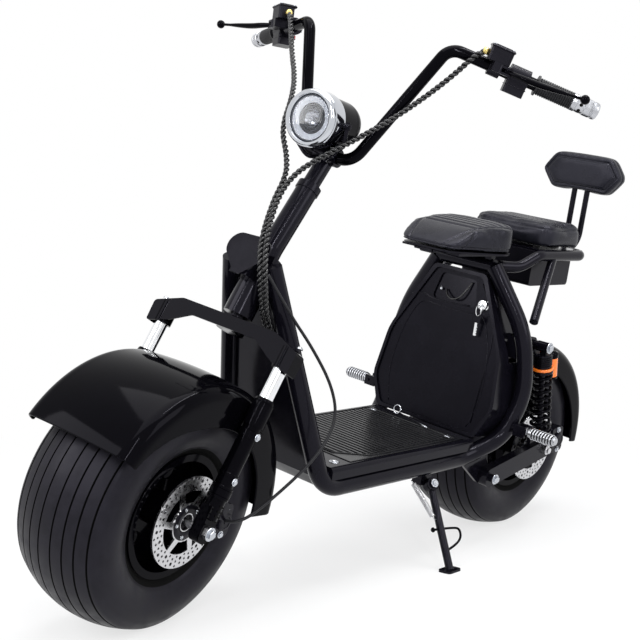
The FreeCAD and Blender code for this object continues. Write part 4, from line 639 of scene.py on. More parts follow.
def blow_up(made, points, held, cap):
    """Swells a pad with cloth, its held points apart, and caps how far each point moves."""
    made.vertex_groups.new(name="held").add([int(k) for k in np.nonzero(held)[0]], 1.0, "REPLACE")
    cloth = made.modifiers.new("cloth", "CLOTH")
    cloth.settings.quality = 5
    cloth.settings.tension_stiffness = 25
    cloth.settings.compression_stiffness = 25
    cloth.settings.shear_stiffness = 8
    cloth.settings.bending_stiffness = 3
    cloth.settings.use_pressure = True
    cloth.settings.uniform_pressure_force = 4
    cloth.settings.vertex_group_mass = "held"
    cloth.settings.effector_weights.gravity = 0
    cloth.collision_settings.use_collision = False
    scene = bpy.context.scene
    for step in range(1, 21):
        scene.frame_set(step)
    blown = evaluated(made)
    move = mesh_array(blown, "co") - points
    size = np.linalg.norm(move, axis=1, keepdims=True)
    move *= np.minimum(1.0, cap * MM / np.maximum(size, 1e-9))
    made.modifiers.remove(cloth)
    bpy.data.meshes.remove(blown)
    scene.frame_set(1)
    set_points(made.data, points + move)


def stuffed(name, node, body, voxel, shrink, cap, held_below, rounds=14, shaped=None):
    """A soft copy of a CAD solid: remeshed, rounded, blown up by cloth, capped and relaxed.

    shaped(local points) may move the points first, to round the plan.
    """
    start = linked(name + "_start", NODES[node].data.copy())
    remesh = start.modifiers.new("remesh", "REMESH")
    remesh.mode = "VOXEL"
    remesh.voxel_size = voxel * MM
    smoothed(start, rounds)
    mesh = evaluated(start)
    bpy.data.objects.remove(start)
    points = mesh_array(mesh, "co") - mesh_array(mesh, "normal") * shrink * MM
    outward = place_of(body)
    inward = outward.inverted()
    if shaped:
        points = placed(shaped(placed(points, inward)), outward)
    set_points(mesh, points)
    made = linked(name, mesh)
    blow_up(made, points, placed(points, inward)[:, 2] < held_below, cap)
    smoothed(made, 12)
    finer = made.modifiers.new("finer", "SUBSURF")
    finer.levels = 1
    finer.render_levels = 1
    made.data = evaluated(made)
    made.modifiers.clear()
    return made


def rounded_plan(points, centre, along, across, power):
    """Draws a plan's corners in to a superellipse of the given half sizes."""
    u = (points[:, 0] - centre) / along
    v = points[:, 1] / across
    far = (np.abs(u) ** power + np.abs(v) ** power) ** (1 / power)
    most = np.maximum(np.abs(u), np.abs(v))
    scale = np.where(far > 1e-6, most / np.maximum(far, 1e-6), 1.0)
    scale = 1 + (scale - 1) * smoothstep(0.55, 1.0, most)
    moved = points.copy()
    moved[:, 0] = centre + u * along * scale
    moved[:, 1] = v * across * scale
    return moved


def sewn(obj, body, node, seam):
    """Presses seams in. seam(local points, local normals) gives how deep each point goes."""
    mesh = obj.data
    points, normals = mesh_array(mesh, "co"), mesh_array(mesh, "normal")
    local = placed(points, place_of(body).inverted())
    deep = seam(local, normals @ np.array(UPRIGHT.to_3x3()) / MM)
    set_points(mesh, points - normals * deep[:, None] * MM)
    mesh.polygons.foreach_set("use_smooth", [True] * len(mesh.polygons))
    mesh.materials.clear()
    mesh.materials.append(VINYL)
    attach(obj, body)
    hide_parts(node)


def groove(distance, half, depth):
    """How deep a soft channel is at a distance from its middle."""
    return depth * np.exp(-(distance / half) ** 2)


SADDLE_NOSE_X, SADDLE_BACK_X = -163, -390
SADDLE_NOSE_HALF, SADDLE_BACK_HALF = 75, 126
NO_MARK = 99  # a distance in millimetres from which a seam presses nothing in


def saddle_half(x):
    """Half the saddle's width, which grows towards its back."""
    share = (x - SADDLE_NOSE_X) / (SADDLE_BACK_X - SADDLE_NOSE_X)
    return SADDLE_NOSE_HALF + share * (SADDLE_BACK_HALF - SADDLE_NOSE_HALF)


def channels(x, start, pitch, depth):
    """Rounded ribs across the seat with a narrow sewn line between them."""
    wave = np.abs(((x - start) % pitch) - pitch / 2) / (pitch / 2)
    return depth * wave ** 3.5


def saddle():
    def shaped(points):
        back = rounded_plan(points, -276.5, 113.5, saddle_half(points[:, 0]), 5.0)
        front = smoothstep(-276, -250, points[:, 0])[:, None]
        moved = points * front + back * (1 - front)
        sag = smoothstep(700, 755, moved[:, 2]) * smoothstep(-250, SADDLE_BACK_X, moved[:, 0])
        moved[:, 2] -= 5 * sag * (moved[:, 1] / 120) ** 2
        return moved

    def seam(p, n):
        x, y, z = p.T
        top = smoothstep(0.5, 0.8, n[:, 2])
        edge = saddle_half(x) - 20 - 10 * np.clip((x + 250) / 80, 0, 1) ** 2
        inside = smoothstep(0, 10, edge - np.abs(y))
        deep = channels(x, -246, 20.0, 4.2) * top * inside * smoothstep(-232, -244, x)
        deep += groove(np.abs(np.abs(y) - edge), 2.6, 3.4) * smoothstep(0.15, 0.5, n[:, 2])
        slant = -232 + 26 * (np.clip(742 - z, 0, 60) / 40) ** 1.3
        off_slant = np.abs(x - slant) + (np.abs(y) < edge - 2) * NO_MARK
        deep += groove(off_slant, 2.6, 3.0) * (z > 690) * smoothstep(0.9, 0.6, n[:, 2])
        deep += groove(np.abs(z - 697), 2.0, 2.0) * smoothstep(0.7, 0.4, np.abs(n[:, 2]))
        return deep

    made = stuffed("saddle_cushion", "saddle", "saddle_lid", voxel=5.0, shrink=3.0, cap=6.0, held_below=694,
                   shaped=shaped)
    sewn(made, "saddle_lid", "saddle", seam)


def pillion():
    def shaped(points):
        return rounded_plan(points, -564.0, 84.0, 112.0, 9.0)

    def seam(p, n):
        x, y, z = p.T
        top = smoothstep(0.6, 0.85, n[:, 2])
        inside = smoothstep(0, 8, 95 - np.abs(y)) * smoothstep(0, 8, x + 636) * smoothstep(0, 8, -492 - x)
        deep = channels(x, -494, 17.5, 3.8) * top * inside
        rim = np.maximum(np.abs(y) - 112, np.maximum(-648 - x, x + 480))
        deep += groove(np.abs(z - 745), 2.2, 2.6) * (rim > -12) * smoothstep(0.85, 0.5, np.abs(n[:, 2]))
        return deep

    made = stuffed("passenger_cushion", "passenger_seat", "root", voxel=5.0, shrink=2.5, cap=5.0,
                   held_below=712, shaped=shaped)
    sewn(made, "root", "passenger_seat", seam)


def backrest():
    def seam(p, n):
        x, y, z = p.T
        across, high = np.abs(y), np.abs(z - 876)
        flank = np.maximum(high - 48, (across - 116) * 0.8 + high * 0.6)
        deep = groove(flank + 14, 3.2, 4.4) * smoothstep(0.5, 0.8, n[:, 0]) * (x > -779)
        deep += groove(np.abs(x + 784), 1.8, 2.0) * smoothstep(0.8, 0.4, np.abs(n[:, 0]))
        return deep

    nothing_held = -math.inf
    made = stuffed("backrest_cushion", "backrest", "root", voxel=4.0, shrink=1.5, cap=4.0,
                   held_below=nothing_held, rounds=16)
    sewn(made, "root", "backrest", seam)


# Fenders


def fender(name, node, axle, radius, half, start, end, body, skirt_of):
    """A thin pressed shell with rounded shoulders and a rolled edge."""
    gauge, bend, lift, bead, rows = 2.5, 26.0, 5.0, 2.3, 72
    outer, inner = [], []
    flat = half - bend
    shoulder = radius - lift - bend
    for row in range(rows + 1):
        angle = math.radians(start + (end - start) * row / rows)
        skirt = skirt_of(row / rows)
        section = [(shoulder - skirt + skirt * k / 4, half, 0, 1) for k in range(4)]
        for k in range(9):
            turn = math.radians(90 * k / 9)
            section.append((shoulder + bend * math.sin(turn), flat + bend * math.cos(turn),
                            math.sin(turn), math.cos(turn)))
        mirror = [(r, -y, nr, -ny) for r, y, nr, ny in reversed(section)]
        for k in range(17):
            y = flat - 2 * flat * k / 16
            section.append((radius - lift * (y / flat) ** 2, y, 1, 0))
        section += mirror
        way = Vector((math.cos(angle), 0, math.sin(angle)))
        for r, y, nr, ny in section:
            outer.append(axle + way * r + Y_WAY * y)
            inner.append(axle + way * (r - gauge * nr) + Y_WAY * (y - gauge * ny))
    columns, count = len(section), len(outer)
    faces = []
    for row, column in product(range(rows), range(columns - 1)):
        a = row * columns + column
        b, c, d = a + 1, a + columns + 1, a + columns
        faces += [(a, b, c, d), (a + count, d + count, c + count, b + count)]
    sides = [(row * columns + column, columns, column > 0)
             for row in range(rows) for column in (0, columns - 1)]
    ends = [(row * columns + column, 1, row == 0) for row in (0, rows) for column in range(columns - 1)]
    for a, step, flip in sides + ends:
        ring = (a, a + step, a + step + count, a + count)
        faces.append(ring[::-1] if flip else ring)
    rim = inner[:columns] + inner[2 * columns - 1:rows * columns:columns]
    rim += inner[rows * columns:][::-1] + inner[columns:rows * columns:columns][::-1]
    shapes = [(outer + inner, faces), sweep(rim, bead, 8, closed=True)]
    piece(name, joined(shapes), body, GLOSS_BLACK, crisp=50, stands_for=node)


def fenders():
    def front_skirt(share):
        return 3 + 43 * math.sin(math.pi / 2 * min(1, share / 0.42)) ** 1.2

    def rear_skirt(share):
        return 16 + 18 * math.sin(math.pi * share)

    fender("front_fender_shell", "front_fender", FRONT_AXLE, radius=255, half=122, start=39, end=188,
           body="steering", skirt_of=front_skirt)
    fender("rear_fender_shell", "rear_fender", REAR_AXLE, radius=249, half=118, start=64, end=185,
           body="root", skirt_of=rear_skirt)


# Headlamp


LAMP_FACE = Vector((268, 0, 929))
LAMP_TILT = math.radians(4)
LAMP_WAY = Vector((math.cos(LAMP_TILT), 0, math.sin(LAMP_TILT)))
LENS_RADIUS = 43


def lamp_turned(profile, count=72, closed=True):
    return lathe(profile, LAMP_FACE, LAMP_WAY, count, closed=closed)


def headlamp():
    bezel = [(43, -20), (43.5, -6), (45.5, -1.5), (49, 0), (52.2, -1.6), (53.8, -5), (54, -9), (52.6, -10.5),
             (52.6, -13), (54, -14.5), (53.6, -40), (52.5, -46), (51.2, -46), (50.8, -34), (48.5, -20)]
    piece("lamp_bezel_ring", lamp_turned(bezel), "steering", BEZEL_CHROME, crisp=40,
          stands_for="lamp_bezel")
    shadow = [(43.0, -5.2), (40.6, -6.6), (40.6, -9.0), (43.0, -9.0)]
    piece("lamp_shadow_ring", lamp_turned(shadow), "steering", LAMP_DARK)
    halo = [(40.5, -7.0), (40.2, -8.5), (29.5, -11.0), (29.5, -12.0), (29.5, -14), (40.5, -14)]
    piece("lamp_halo", lamp_turned(halo), "steering", WHITE)
    dark = [(29.4, -11.5), (28.0, -10.6), (26.5, -12.2), (24.6, -11.6), (23, -13.4), (21.2, -12.8),
            (19.5, -15), (17, -15.5), (17, -18.5), (29.4, -18.5)]
    piece("lamp_inner_ring", lamp_turned(dark), "steering", LAMP_DARK, crisp=30)
    reflector = [(17.0, -14.0), (14.0, -16.4), (10.5, -18.2), (6.5, -19.2), (5.5, -19.4), (5.5, -19.8),
                 (17, -19.8)]
    piece("lamp_reflector", lamp_turned(reflector, 24), "steering", REFLECTOR, flat=True)
    bulb = [(0, -9.5), (2.2, -9.8), (4.2, -11.5), (5.0, -14), (4.6, -17), (5.2, -17.4), (5.2, -19.6),
            (0, -19.6)]
    piece("lamp_bulb", lamp_turned(bulb, 32, closed=False), "steering", REFLECTOR)
    lens = [(LENS_RADIUS * k / 8, -3.0 - 3.4 * (k / 8) ** 2) for k in range(9)]
    back = [(r, h - 1.4) for r, h in reversed(lens)]
    piece("lamp_glass", lamp_turned(lens + back, closed=False), "steering", GLASS,
          stands_for="lamp_lens")


# Handlebar


BAR_HIGH = Vector((93, 163, 1103))
BAR_END = Vector((-60, 398, 1045))
BAR_WAY = (BAR_END - BAR_HIGH).normalized()
BAR_SIDE = BAR_WAY.cross(Z_WAY).normalized()
BAR_UP = BAR_SIDE.cross(BAR_WAY).normalized()
GRIP_LONG = 112
CONTROL_Y, SWITCH_Y = 238, 277


def on_bar(y_left, side=0.0, along=0.0, up=0.0):
    """A point by the bar's left end, from where the bar is y_left out."""
    at = BAR_HIGH.lerp(BAR_END, (y_left - BAR_HIGH.y) / (BAR_END.y - BAR_HIGH.y))
    return at + BAR_SIDE * side + BAR_WAY * along + BAR_UP * up


def bar_box(y_left, low, high, bevel):
    """A block drawn with X ahead of the bar, Y out along it and Z up, set on it."""
    return turned_to(box(low, high, bevel), on_bar(y_left), BAR_SIDE, BAR_WAY)


def grips():
    start = BAR_END - BAR_WAY * GRIP_LONG
    rubber = [(11.8, 0), (19.2, 0.2), (19.4, 3.4), (16.0, 4.2)]
    for k in range(15):
        rubber += [(r, 6.0 + k * 4.3 + h) for r, h in ((15.0, 0), (16.4, 0.8), (16.4, 2.6), (15.0, 3.4))]
    rubber += [(16.2, 71.0), (16.2, 74.0), (11.8, 74.0)]
    piece("grip_rubbers", pair([lathe(rubber, start, BAR_WAY, 40, closed=True)]), "steering",
          RUBBER, crisp=40, stands_for="grips")
    sleeve = [(11.8, 74.2), (16.2, 74.2), (16.6, 75), (16.6, 83), (15.4, 84), (15.4, 99), (16.6, 100),
              (16.6, 111.8), (11.8, 111.8)]
    piece("grip_sleeves", pair([lathe(sleeve, start, BAR_WAY, 48, closed=True)]), "steering",
          ALLOY, crisp=40)
    cap = [(0, 16.2), (10.2, 16.2), (10.8, 15.2), (13.6, 15.2), (15.8, 13.2), (16.4, 10), (16.4, 5.5),
           (15.2, 4.5), (15.2, 3), (16.4, 2.0), (16.4, 0.3), (0, 0.3)]
    piece("grip_end_caps", pair([lathe(cap, BAR_END, BAR_WAY, 48)]), "steering", ALLOY,
          crisp=40, stands_for="grip_caps")
    # The sleeve's holes are flat dark discs: painted shade where the openings would be.
    hole_shades = []
    for angle in turns(8):
        way = BAR_SIDE * math.cos(angle) + BAR_UP * math.sin(angle)
        hole_shades.append(lathe([(3.4, 0), (3.4, 0.5), (0, 0.5)], start + BAR_WAY * 91.5 + way * 15.2, way, 16))
    piece("grip_sleeve_hole_shade", pair(hole_shades), "steering", RECESS_SHADE)


def levers():
    def size(share):
        return (4.6 + 3.4 * math.sin(math.pi * min(1, share * 1.25)) ** 0.8) * (1 - 0.25 * share)

    pivot = on_bar(CONTROL_Y, side=36, along=20)
    knee = on_bar(300, side=64)
    end = Vector((46, 428, 1060))
    route = [pivot + BAR_WAY * 2, pivot + BAR_WAY * 24 + BAR_SIDE * 16, knee, knee.lerp(end, 0.5), end]
    blade = sweep(even(spline(route, 20), 4), size, 16, wide=0.8, hint=BAR_SIDE)
    ball = lathe([(0, 9), (4.6, 7.7), (7.8, 4.5), (9, 0), (7.8, -4.5), (4.6, -7.7), (0, -9)], end,
                 BAR_WAY, 24)
    eye = lathe([(0, 4), (8, 4), (8.4, 3), (8.4, -3), (8, -4), (0, -4)], pivot, BAR_UP, 24)
    piece("lever_blades", pair([blade, ball, eye]), "steering", GLOSS_BLACK,
          stands_for="brake_levers")


def controls():
    lids = [bar_box(CONTROL_Y, (4, -25.5, 32.6), (43, 21.5, 38), 2.0),
            bar_box(CONTROL_Y, (8, -21, 37.6), (39, 17, 39.6), 1.2),
            bar_box(SWITCH_Y, (-19, -21, -20), (19, 21, -18), 0.8)]
    screws = [capscrew(on_bar(CONTROL_Y, side, along, 38), BAR_UP, 3.0, 1.8)
              for side, along in ((9, -20), (38, -20), (9, 16), (38, 16))]
    screws += [capscrew(on_bar(CONTROL_Y, side=-17, up=up), -BAR_SIDE, 3.0, 3.0) for up in (-6, 6)]
    screws.append(lathe([(0, 1.6), (4.4, 1.2), (5.4, 0)], on_bar(CONTROL_Y, 24, -24.4, 21), -BAR_WAY, 24))
    buttons = [bar_box(y, (-21, -4, z - 5), (-17.4, 5, z + 4), 1.0) for y, z in ((268, -14), (283, -16))]
    piece("control_lids", pair(lids), "steering", BLACK_PLASTIC, flat=True)
    piece("control_screws", pair(screws), "steering", ZINC)
    piece("control_buttons", pair(buttons), "steering", RED, flat=True)


# Looms and hose


LOOM_AT_FRAME = ((371, 42, 702), (387, 66, 650), (366, 56, 602), (345, 49, 552), (294, 46, 490))
LOOM_GAP = 5.6
LOOM_BEND = ((345, 49, 560), (338, 30, 775))
HOSE_BEND = ((300, 140, 430), (474, 140, 430))


def twisted(path, wire, reach, pitch):
    """Two strands wound round each other along a path."""
    step = 2.2
    line = even(path, step)
    strands = ([], [])
    first = None
    for index, at in enumerate(line):
        way = (line[min(index + 1, len(line) - 1)] - line[max(index - 1, 0)]).normalized()
        if first is None:
            first, _ = basis(way)
        first = (first - way * first.dot(way)).normalized()
        second = way.cross(first)
        for k, strand in enumerate(strands):
            turn = 2 * math.pi * index * step / pitch + math.pi * k
            strand.append(at + (first * math.cos(turn) + second * math.sin(turn)) * reach)
    return joined([sweep(strand, wire, 7) for strand in strands])


def unsteered(points):
    """Points on the frame at rest, as the steered parts see them."""
    back = steer_place().inverted()
    return [back @ Vector(p) for p in points]


def bend_between(made, start, end):
    """Bakes a cord's transform into its mesh, with no blend from the frame to the steering; the two points at
    rest are not used.
    """
    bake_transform(made)


def looms():
    start = on_bar(CONTROL_Y, side=24, along=-24.3, up=20)
    tail = unsteered(LOOM_AT_FRAME)
    left = [start, start - BAR_WAY * 14, (98, 182, 1051), (131, 142, 994), (165, 112, 952), (212, 76, 906),
            (250, 48, 873), (296, 12, 826), (335, 12, 775)] + [p + Y_WAY * LOOM_GAP for p in tail]
    right = [flip_y(left[0]), flip_y(left[1]), (140, -160, 1039), (181, -110, 991), (222, -78, 952),
             (256, -64, 896), (275, -26, 852), (298, -2, 818), (326, 0, 773)]
    right += [p - Y_WAY * LOOM_GAP for p in tail]
    for name, route in (("loom_left", left), ("loom_right", right)):
        shape = twisted(spline(route, 24), wire=3.0, reach=2.8, pitch=21.0)
        made = piece(name, shape, "steering", LOOM_WRAP, rides=False)
        bend_between(made, *LOOM_BEND)
        if name == "loom_left":
            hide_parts("cable_loom")
    end = lathe([(5.6, 0), (6.4, 0.6), (6.4, 10), (5.4, 11), (3, 11.4)], start, -BAR_WAY, 20)
    piece("loom_ends", pair([end]), "steering", BRASS)


def hose():
    route = unsteered([(386, 80, 648), (342, 104, 580), (300, 130, 524), (258, 158, 452), (252, 176, 390),
                       (300, 182, 328)])
    route += [(404, 176, 262), (474, 160, 222), (474, 129.3, 222)]
    shape = sweep(even(spline(route, 24), 5), 2.9, 10)
    made = piece("front_brake_hose", shape, "steering", RUBBER, rides=False)
    bend_between(made, *HOSE_BEND)
    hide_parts("brake_hose")


# Deck and tower


MAT_LOW, MAT_HIGH = 281.1, 282.6
RIB_PITCH, RIB_WIDTH = 13.6, 6.4


def deck():
    shapes = [box((-240, -134, MAT_LOW - 0.05), (142, 134, MAT_HIGH), 0.8)]
    x = -206.0
    while x < 128:
        reach = 118 - max(0.0, (x - 74) * 0.75)
        shapes.append(box((x, -reach, MAT_HIGH - 0.3), (x + RIB_WIDTH, reach, MAT_HIGH + 1.9), 0.8))
        x += RIB_PITCH
    border = [(-216, 124), (72, 124), (134, 78), (134, -78), (72, -124), (-216, -124)]
    shapes.append(sweep([(x, y, MAT_HIGH + 0.7) for x, y in border], 1.4, 8, closed=True))
    piece("deck_mat_ribbed", joined(shapes), "root", MAT_RUBBER, flat=True,
          stands_for="deck_mat")
    screws = []
    for x, y, z in ((172, 118, 280.8), (172, -118, 280.8), (-214, 106, 282.4), (-214, -106, 282.4)):
        screws.append(capscrew((x, y, z), Z_WAY, 5.5, 2.2))
        screws.append(lathe([(5.2, 0.0), (10.0, 0.0), (10.4, 0.5), (9.8, 1.3), (5.2, 1.4)],
                            (x, y, z + 0.1), Z_WAY, 28, closed=True))
    piece("deck_screws", joined(screws), "root", ZINC)


TOWER_LEAN = math.radians(8.0)
TOWER_UP = Vector((-math.sin(TOWER_LEAN), 0, math.cos(TOWER_LEAN)))
TOWER_OUT = Y_WAY.cross(TOWER_UP)
TOWER_FOOT = Vector((-266, 0, 281)) - TOWER_UP * 281


def on_tower(left, height, out):
    """A point on the tower's leaning front face."""
    return TOWER_FOOT + Y_WAY * left + TOWER_UP * height + TOWER_OUT * out


def tower():
    """The pressed lines of the front panel, and its strap with a stud."""
    ridge = [(-112, 300), (-134, 356), (-124, 470), (-96, 540), (-70, 552), (-56, 546), (56, 546), (70, 552),
             (96, 540), (124, 470), (134, 356), (112, 300)]
    step = [(-118, 556), (-92, 569), (-62, 557), (-14, 557), (40, 562)]
    shapes = [sweep(even(spline([on_tower(y, z, -4.6) for y, z in ridge], 8), 8), 1.3, 6),
              sweep(even(spline([on_tower(y, z, -4.6) for y, z in step], 10), 5), 1.5, 8)]
    for line in ([(66, 618), (99, 567)], [(95, 609), (118, 575)],
                 [(108, 558), (121, 534), (126, 480), (122, 312)]):
        shapes.append(sweep([on_tower(y, z, -4.4) for y, z in line], 1.3, 8))
    piece("panel_ridges", joined(shapes), "root", FRAME_PAINT)
    strap = [(-26, 586, -6), (-24, 580, 0), (-8, 567, 3), (12, 569, 3), (26, 586, 1), (37, 615, -6)]
    piece("panel_strap", sweep(even(spline([on_tower(*p) for p in strap], 12), 3), 2.1, 8), "root",
          LOOM_WRAP)
    piece("panel_stud", capscrew(on_tower(-41, 585, -5), TOWER_OUT, 3.2, 2.2), "root", ZINC)


def pull_ring():
    """The split ring and its short pull that lie at the foot of the seat tower."""
    middle, radius = Vector((-233, -52, 297)), 9.5
    ring = [middle + Vector((math.sin(t) * -2, math.cos(t) * radius, math.sin(t) * radius))
            for t in turns(28)]
    pull = [(-233, -43, 291), (-228, -22, 289), (-223, 2, 289), (-216, 28, 289)]
    tip = [pull[-1], (-203, 58, 289)]
    piece("pull_ring", joined([sweep(ring, 1.4, 8, closed=True), sweep(tip, 1.9, 10)]), "root",
          ZINC)
    piece("pull_strap", sweep(even(spline(pull, 10), 3), 1.3, 8), "root", BLACK_PLASTIC)


def lock():
    """The lock's barrel with its key, a ring, and a second key that hangs from it."""
    at = on_tower(82, 572, -5.5)
    hang = at + TOWER_OUT * 21 - Z_WAY * 41
    barrel = [(13, 0), (13, 2), (11.4, 3), (11.4, 9), (10.4, 10.4), (6.5, 10.8), (6.5, 9.6), (0, 9.6)]
    middle = at + TOWER_OUT * 20 - Z_WAY * 14
    ring = [middle + Vector((math.cos(t) * 3, math.cos(t) * 8.4, math.sin(t) * 12)) for t in turns(24)]
    shapes = [lathe(barrel, at, TOWER_OUT, 40),
              turned_to(box((-1, -5, 0), (1, 5, 3.0), 0.3), at + TOWER_OUT * 9.4, Y_WAY, TOWER_UP),
              turned_to(box((-3, -1, -1.2), (3, 1, 10), 0.4), at + TOWER_OUT * 10, Y_WAY, TOWER_UP),
              sweep(ring, 1.1, 8, closed=True),
              turned_to(box((-3.2, -30, -1.1), (3.2, 0, 1.1), 0.4), hang, Y_WAY, Z_WAY)]
    shapes += [turned_to(box((2, -29 + k * 6, -1.1), (5.0, -26 + k * 6, 1.1), 0.3), hang, Y_WAY, Z_WAY)
               for k in range(4)]
    piece("lock_barrel_and_keys", joined(shapes), "root", CHROME, crisp=35,
          stands_for="lock_and_key")
    head = turned_to(box((-9, -8, -1.8), (9, 8, 1.8), 1.4), hang + Z_WAY * 7, Y_WAY, Z_WAY)
    piece("key_head", head, "root", BLACK_PLASTIC, flat=True)


# Suspension, pegs, stand and fasteners


SHOCK_TOP = Vector((-452, 166, 486))
SHOCK_FOOT = Vector((-508, 166, 262))
SHOCK_UP = (SHOCK_TOP - SHOCK_FOOT).normalized()
COIL_LOW, COIL_HIGH = 20.6, (SHOCK_TOP - SHOCK_FOOT).length - 62.6
COIL_WIRE = 3.9


def shocks():
    def collar(profile, up, count):
        return lathe(profile, SHOCK_FOOT + SHOCK_UP * up, SHOCK_UP, count, closed=True)

    coil = helix(SHOCK_FOOT + SHOCK_UP * (COIL_LOW + 3.8), SHOCK_FOOT + SHOCK_UP * (COIL_HIGH - 3.8),
                 radius=21.0, rounds=8.5, wire=COIL_WIRE, steps=24, sides=10)
    piece("shock_coils", pair([coil]), "root", GLOSS_BLACK, stands_for="shock_springs")
    ring = [(21.2, 0), (24.6, 0.6), (25.2, 2), (25.2, 5.4), (24.4, 6.8), (21.2, 7.2)]
    piece("shock_preload_rings", pair([collar(ring, COIL_HIGH + 7, 48)]), "root", ORANGE)
    rib = [(20.9, 0), (22.0, 0.5), (22.0, 2.8), (20.9, 3.3)]
    collars = [collar(rib, COIL_HIGH + 19 + k * 5, 40) for k in range(5)]
    reservoir = SHOCK_TOP - SHOCK_UP * 78 - X_WAY * 41
    for cap in ([(0, 64), (8, 64), (13.8, 61), (13.8, 50), (13.2, 49), (0, 49)],
                [(0, -3.4), (8, -3.4), (13.6, -1.4), (13.6, 3.4), (0, 3.4)]):
        collars.append(lathe(cap, reservoir, SHOCK_UP, 40))
    piece("shock_collars", pair(collars), "root", GLOSS_BLACK)
    nuts = [bolt(at + Y_WAY * 17.2, Y_WAY, 9.0, 6) for at in (SHOCK_TOP, SHOCK_FOOT)]
    piece("shock_bolts", pair(nuts), "root", ZINC, crisp=35)


STAND_HINGE = Vector((-135, 140, 194))
STAND_FOOT = Vector((-113, 234.327, 48.818))
STAND_AXIS = Vector((0.19725387, 0.80815205, 0.55496051))


def stand():
    """The side stand's foot loop, its return spring and the bolt that it turns on."""
    leg = (STAND_FOOT - STAND_HINGE).normalized()
    back = leg.cross(STAND_AXIS).normalized()
    if back.x > 0:
        back = -back
    mid = STAND_HINGE + leg * 96
    stub = mid - back * 20
    loop = [mid + back * out + leg * down
            for out, down in ((0, 0), (40, 0), (52, 6), (50, 24), (30, 38), (0, 48))]
    shapes = [sweep(even(spline(loop, 14), 2.5), 2.6, 10), sweep([mid, stub], 2.6, 10),
              lathe([(0, 4), (4, 4), (5.4, 2), (5.4, 0), (0, 0)], stub, -back, 16)]
    piece("stand_loop", joined(shapes), "side_stand", GLOSS_BLACK)
    wire, top = 1.1, Vector((-73, 132, 211))
    end = STAND_HINGE + leg * 74 + X_WAY * 13.8
    way = (end - top).normalized()
    coil = [helix(top + way * 9, end - way * 9, radius=5.0, rounds=26, wire=wire, steps=14, sides=6),
            sweep([top, top + way * 10], wire, 6),
            sweep([end - way * 10, end, end - X_WAY * 6], wire, 6)]
    piece("stand_coil", joined(coil), "side_stand", STEEL, stands_for="stand_spring")
    piece("stand_bolt", bolt(STAND_HINGE + STAND_AXIS * 14, STAND_AXIS, 6.4, 5), "root",
          ZINC, crisp=35)


PEG_X, PEG_Z = -341, 314


def bolts():
    """Bright fasteners that show from a step away, body by body."""
    rear = [bolt((-337, 172, 186), Y_WAY, 8.2, 7), bolt((PEG_X, 201, PEG_Z), Y_WAY, 4.5, 3)]
    front = [bolt(fork(0, 163, 0), Y_WAY, 8.8, 7),
             lathe([(0, 5.0), (3.4, 4.6), (5.4, 3.0), (6.6, 0)], fork(0, 160, 355), FORK_UP, 24)]
    piece("frame_bolts", pair(rear), "root", ZINC, crisp=35)
    piece("fork_bolts", pair(front), "steering", ZINC, crisp=35)


def pegs():
    """Bright ribs round each passenger peg, with black rubber between them."""
    rib = [(11.05, 0), (12.9, 0.5), (13.2, 1.4), (13.2, 3.2), (12.9, 4.1), (11.05, 4.6)]
    gap = [(11.05, 4.7), (11.7, 4.7), (11.7, 6.9), (11.05, 6.9)]
    for body, side in (("peg_left", 1), ("peg_right", -1)):
        places = [Vector((PEG_X, side * (241 + index * 7.0), PEG_Z)) for index in range(8)]
        ribs, gaps = ([lathe(profile, at, Y_WAY * side, 32, closed=True) for at in places]
                      for profile in (rib, gap))
        piece(body + "_ribs", joined(ribs), body, ALLOY, crisp=40)
        piece(body + "_gaps", joined(gaps), body, RUBBER)


FORK_Y, LEG_RADIUS = 143, 16.8


def fork_trim():
    """Seals, clamp bands with their screws and cooling slots on the fork's lower legs; the slots are flat
    dark patches of painted shade.
    """
    bands = [[(LEG_RADIUS, low), (radius - 0.8, low), (radius, low + 0.9), (radius, high - 0.9),
              (radius - 0.8, high), (LEG_RADIUS, high)]
             for low, high, radius in ((176, 190, 19.4), (60, 66, 19.6), (78, 84, 19.6), (104, 108, 18.2))]
    bands.append([(15.3, 242), (17.6, 242), (18.4, 243.4), (17.4, 249), (15.6, 251), (15.3, 251)])
    bands = [lathe(band, fork(0, FORK_Y, 0), FORK_UP, 40, closed=True) for band in bands]
    # The slots are flat dark patches: painted shade, not cut openings.
    slots = [turned_to(box((-7, -1.4, -0.8), (7, 1.4, 0.8), 0.3), fork(0, 160.2, 22 + k * 9), FORK_FORWARD,
                       FORK_UP) for k in range(4)]
    screws = [bolt(fork(0, out, up), Y_WAY, 5.0, 4) for out, up in ((162.4, 183), (160.4, 97))]
    piece("fork_bands", pair(bands), "steering", GLOSS_BLACK, crisp=40)
    piece("fork_slot_shade", pair(slots), "steering", RECESS_SHADE, flat=True)
    piece("fork_screws", pair(screws), "steering", ZINC, crisp=35)


def calipers():
    """A round cap and two bolts on each brake caliper."""
    cap = [(17, 0), (17, 4.5), (15.4, 6.4), (12, 6.8), (11.4, 5.6), (4, 5.6), (3.4, 7), (0, 7)]
    for end, axle, disc_y, degrees, body in (("front", FRONT_AXLE, FRONT_DISC_Y, 186, "steering"),
                                             ("rear", REAR_AXLE, REAR_DISC_Y, 172, "root")):
        angle = math.radians(degrees)
        way = Vector((math.cos(angle), 0, math.sin(angle)))
        face = axle + way * 79 + Y_WAY * (disc_y + 22)
        piece(end + "_caliper_trim", lathe(cap, face, Y_WAY, 40), body, BLACK_PLASTIC,
              crisp=35)
        screws = [bolt(face + Y_WAY.cross(way) * s, Y_WAY, 5.0, 4.5) for s in (-25, 25)]
        piece(end + "_caliper_bolts", joined(screws), body, ZINC, crisp=35)


# Camera, floor and light


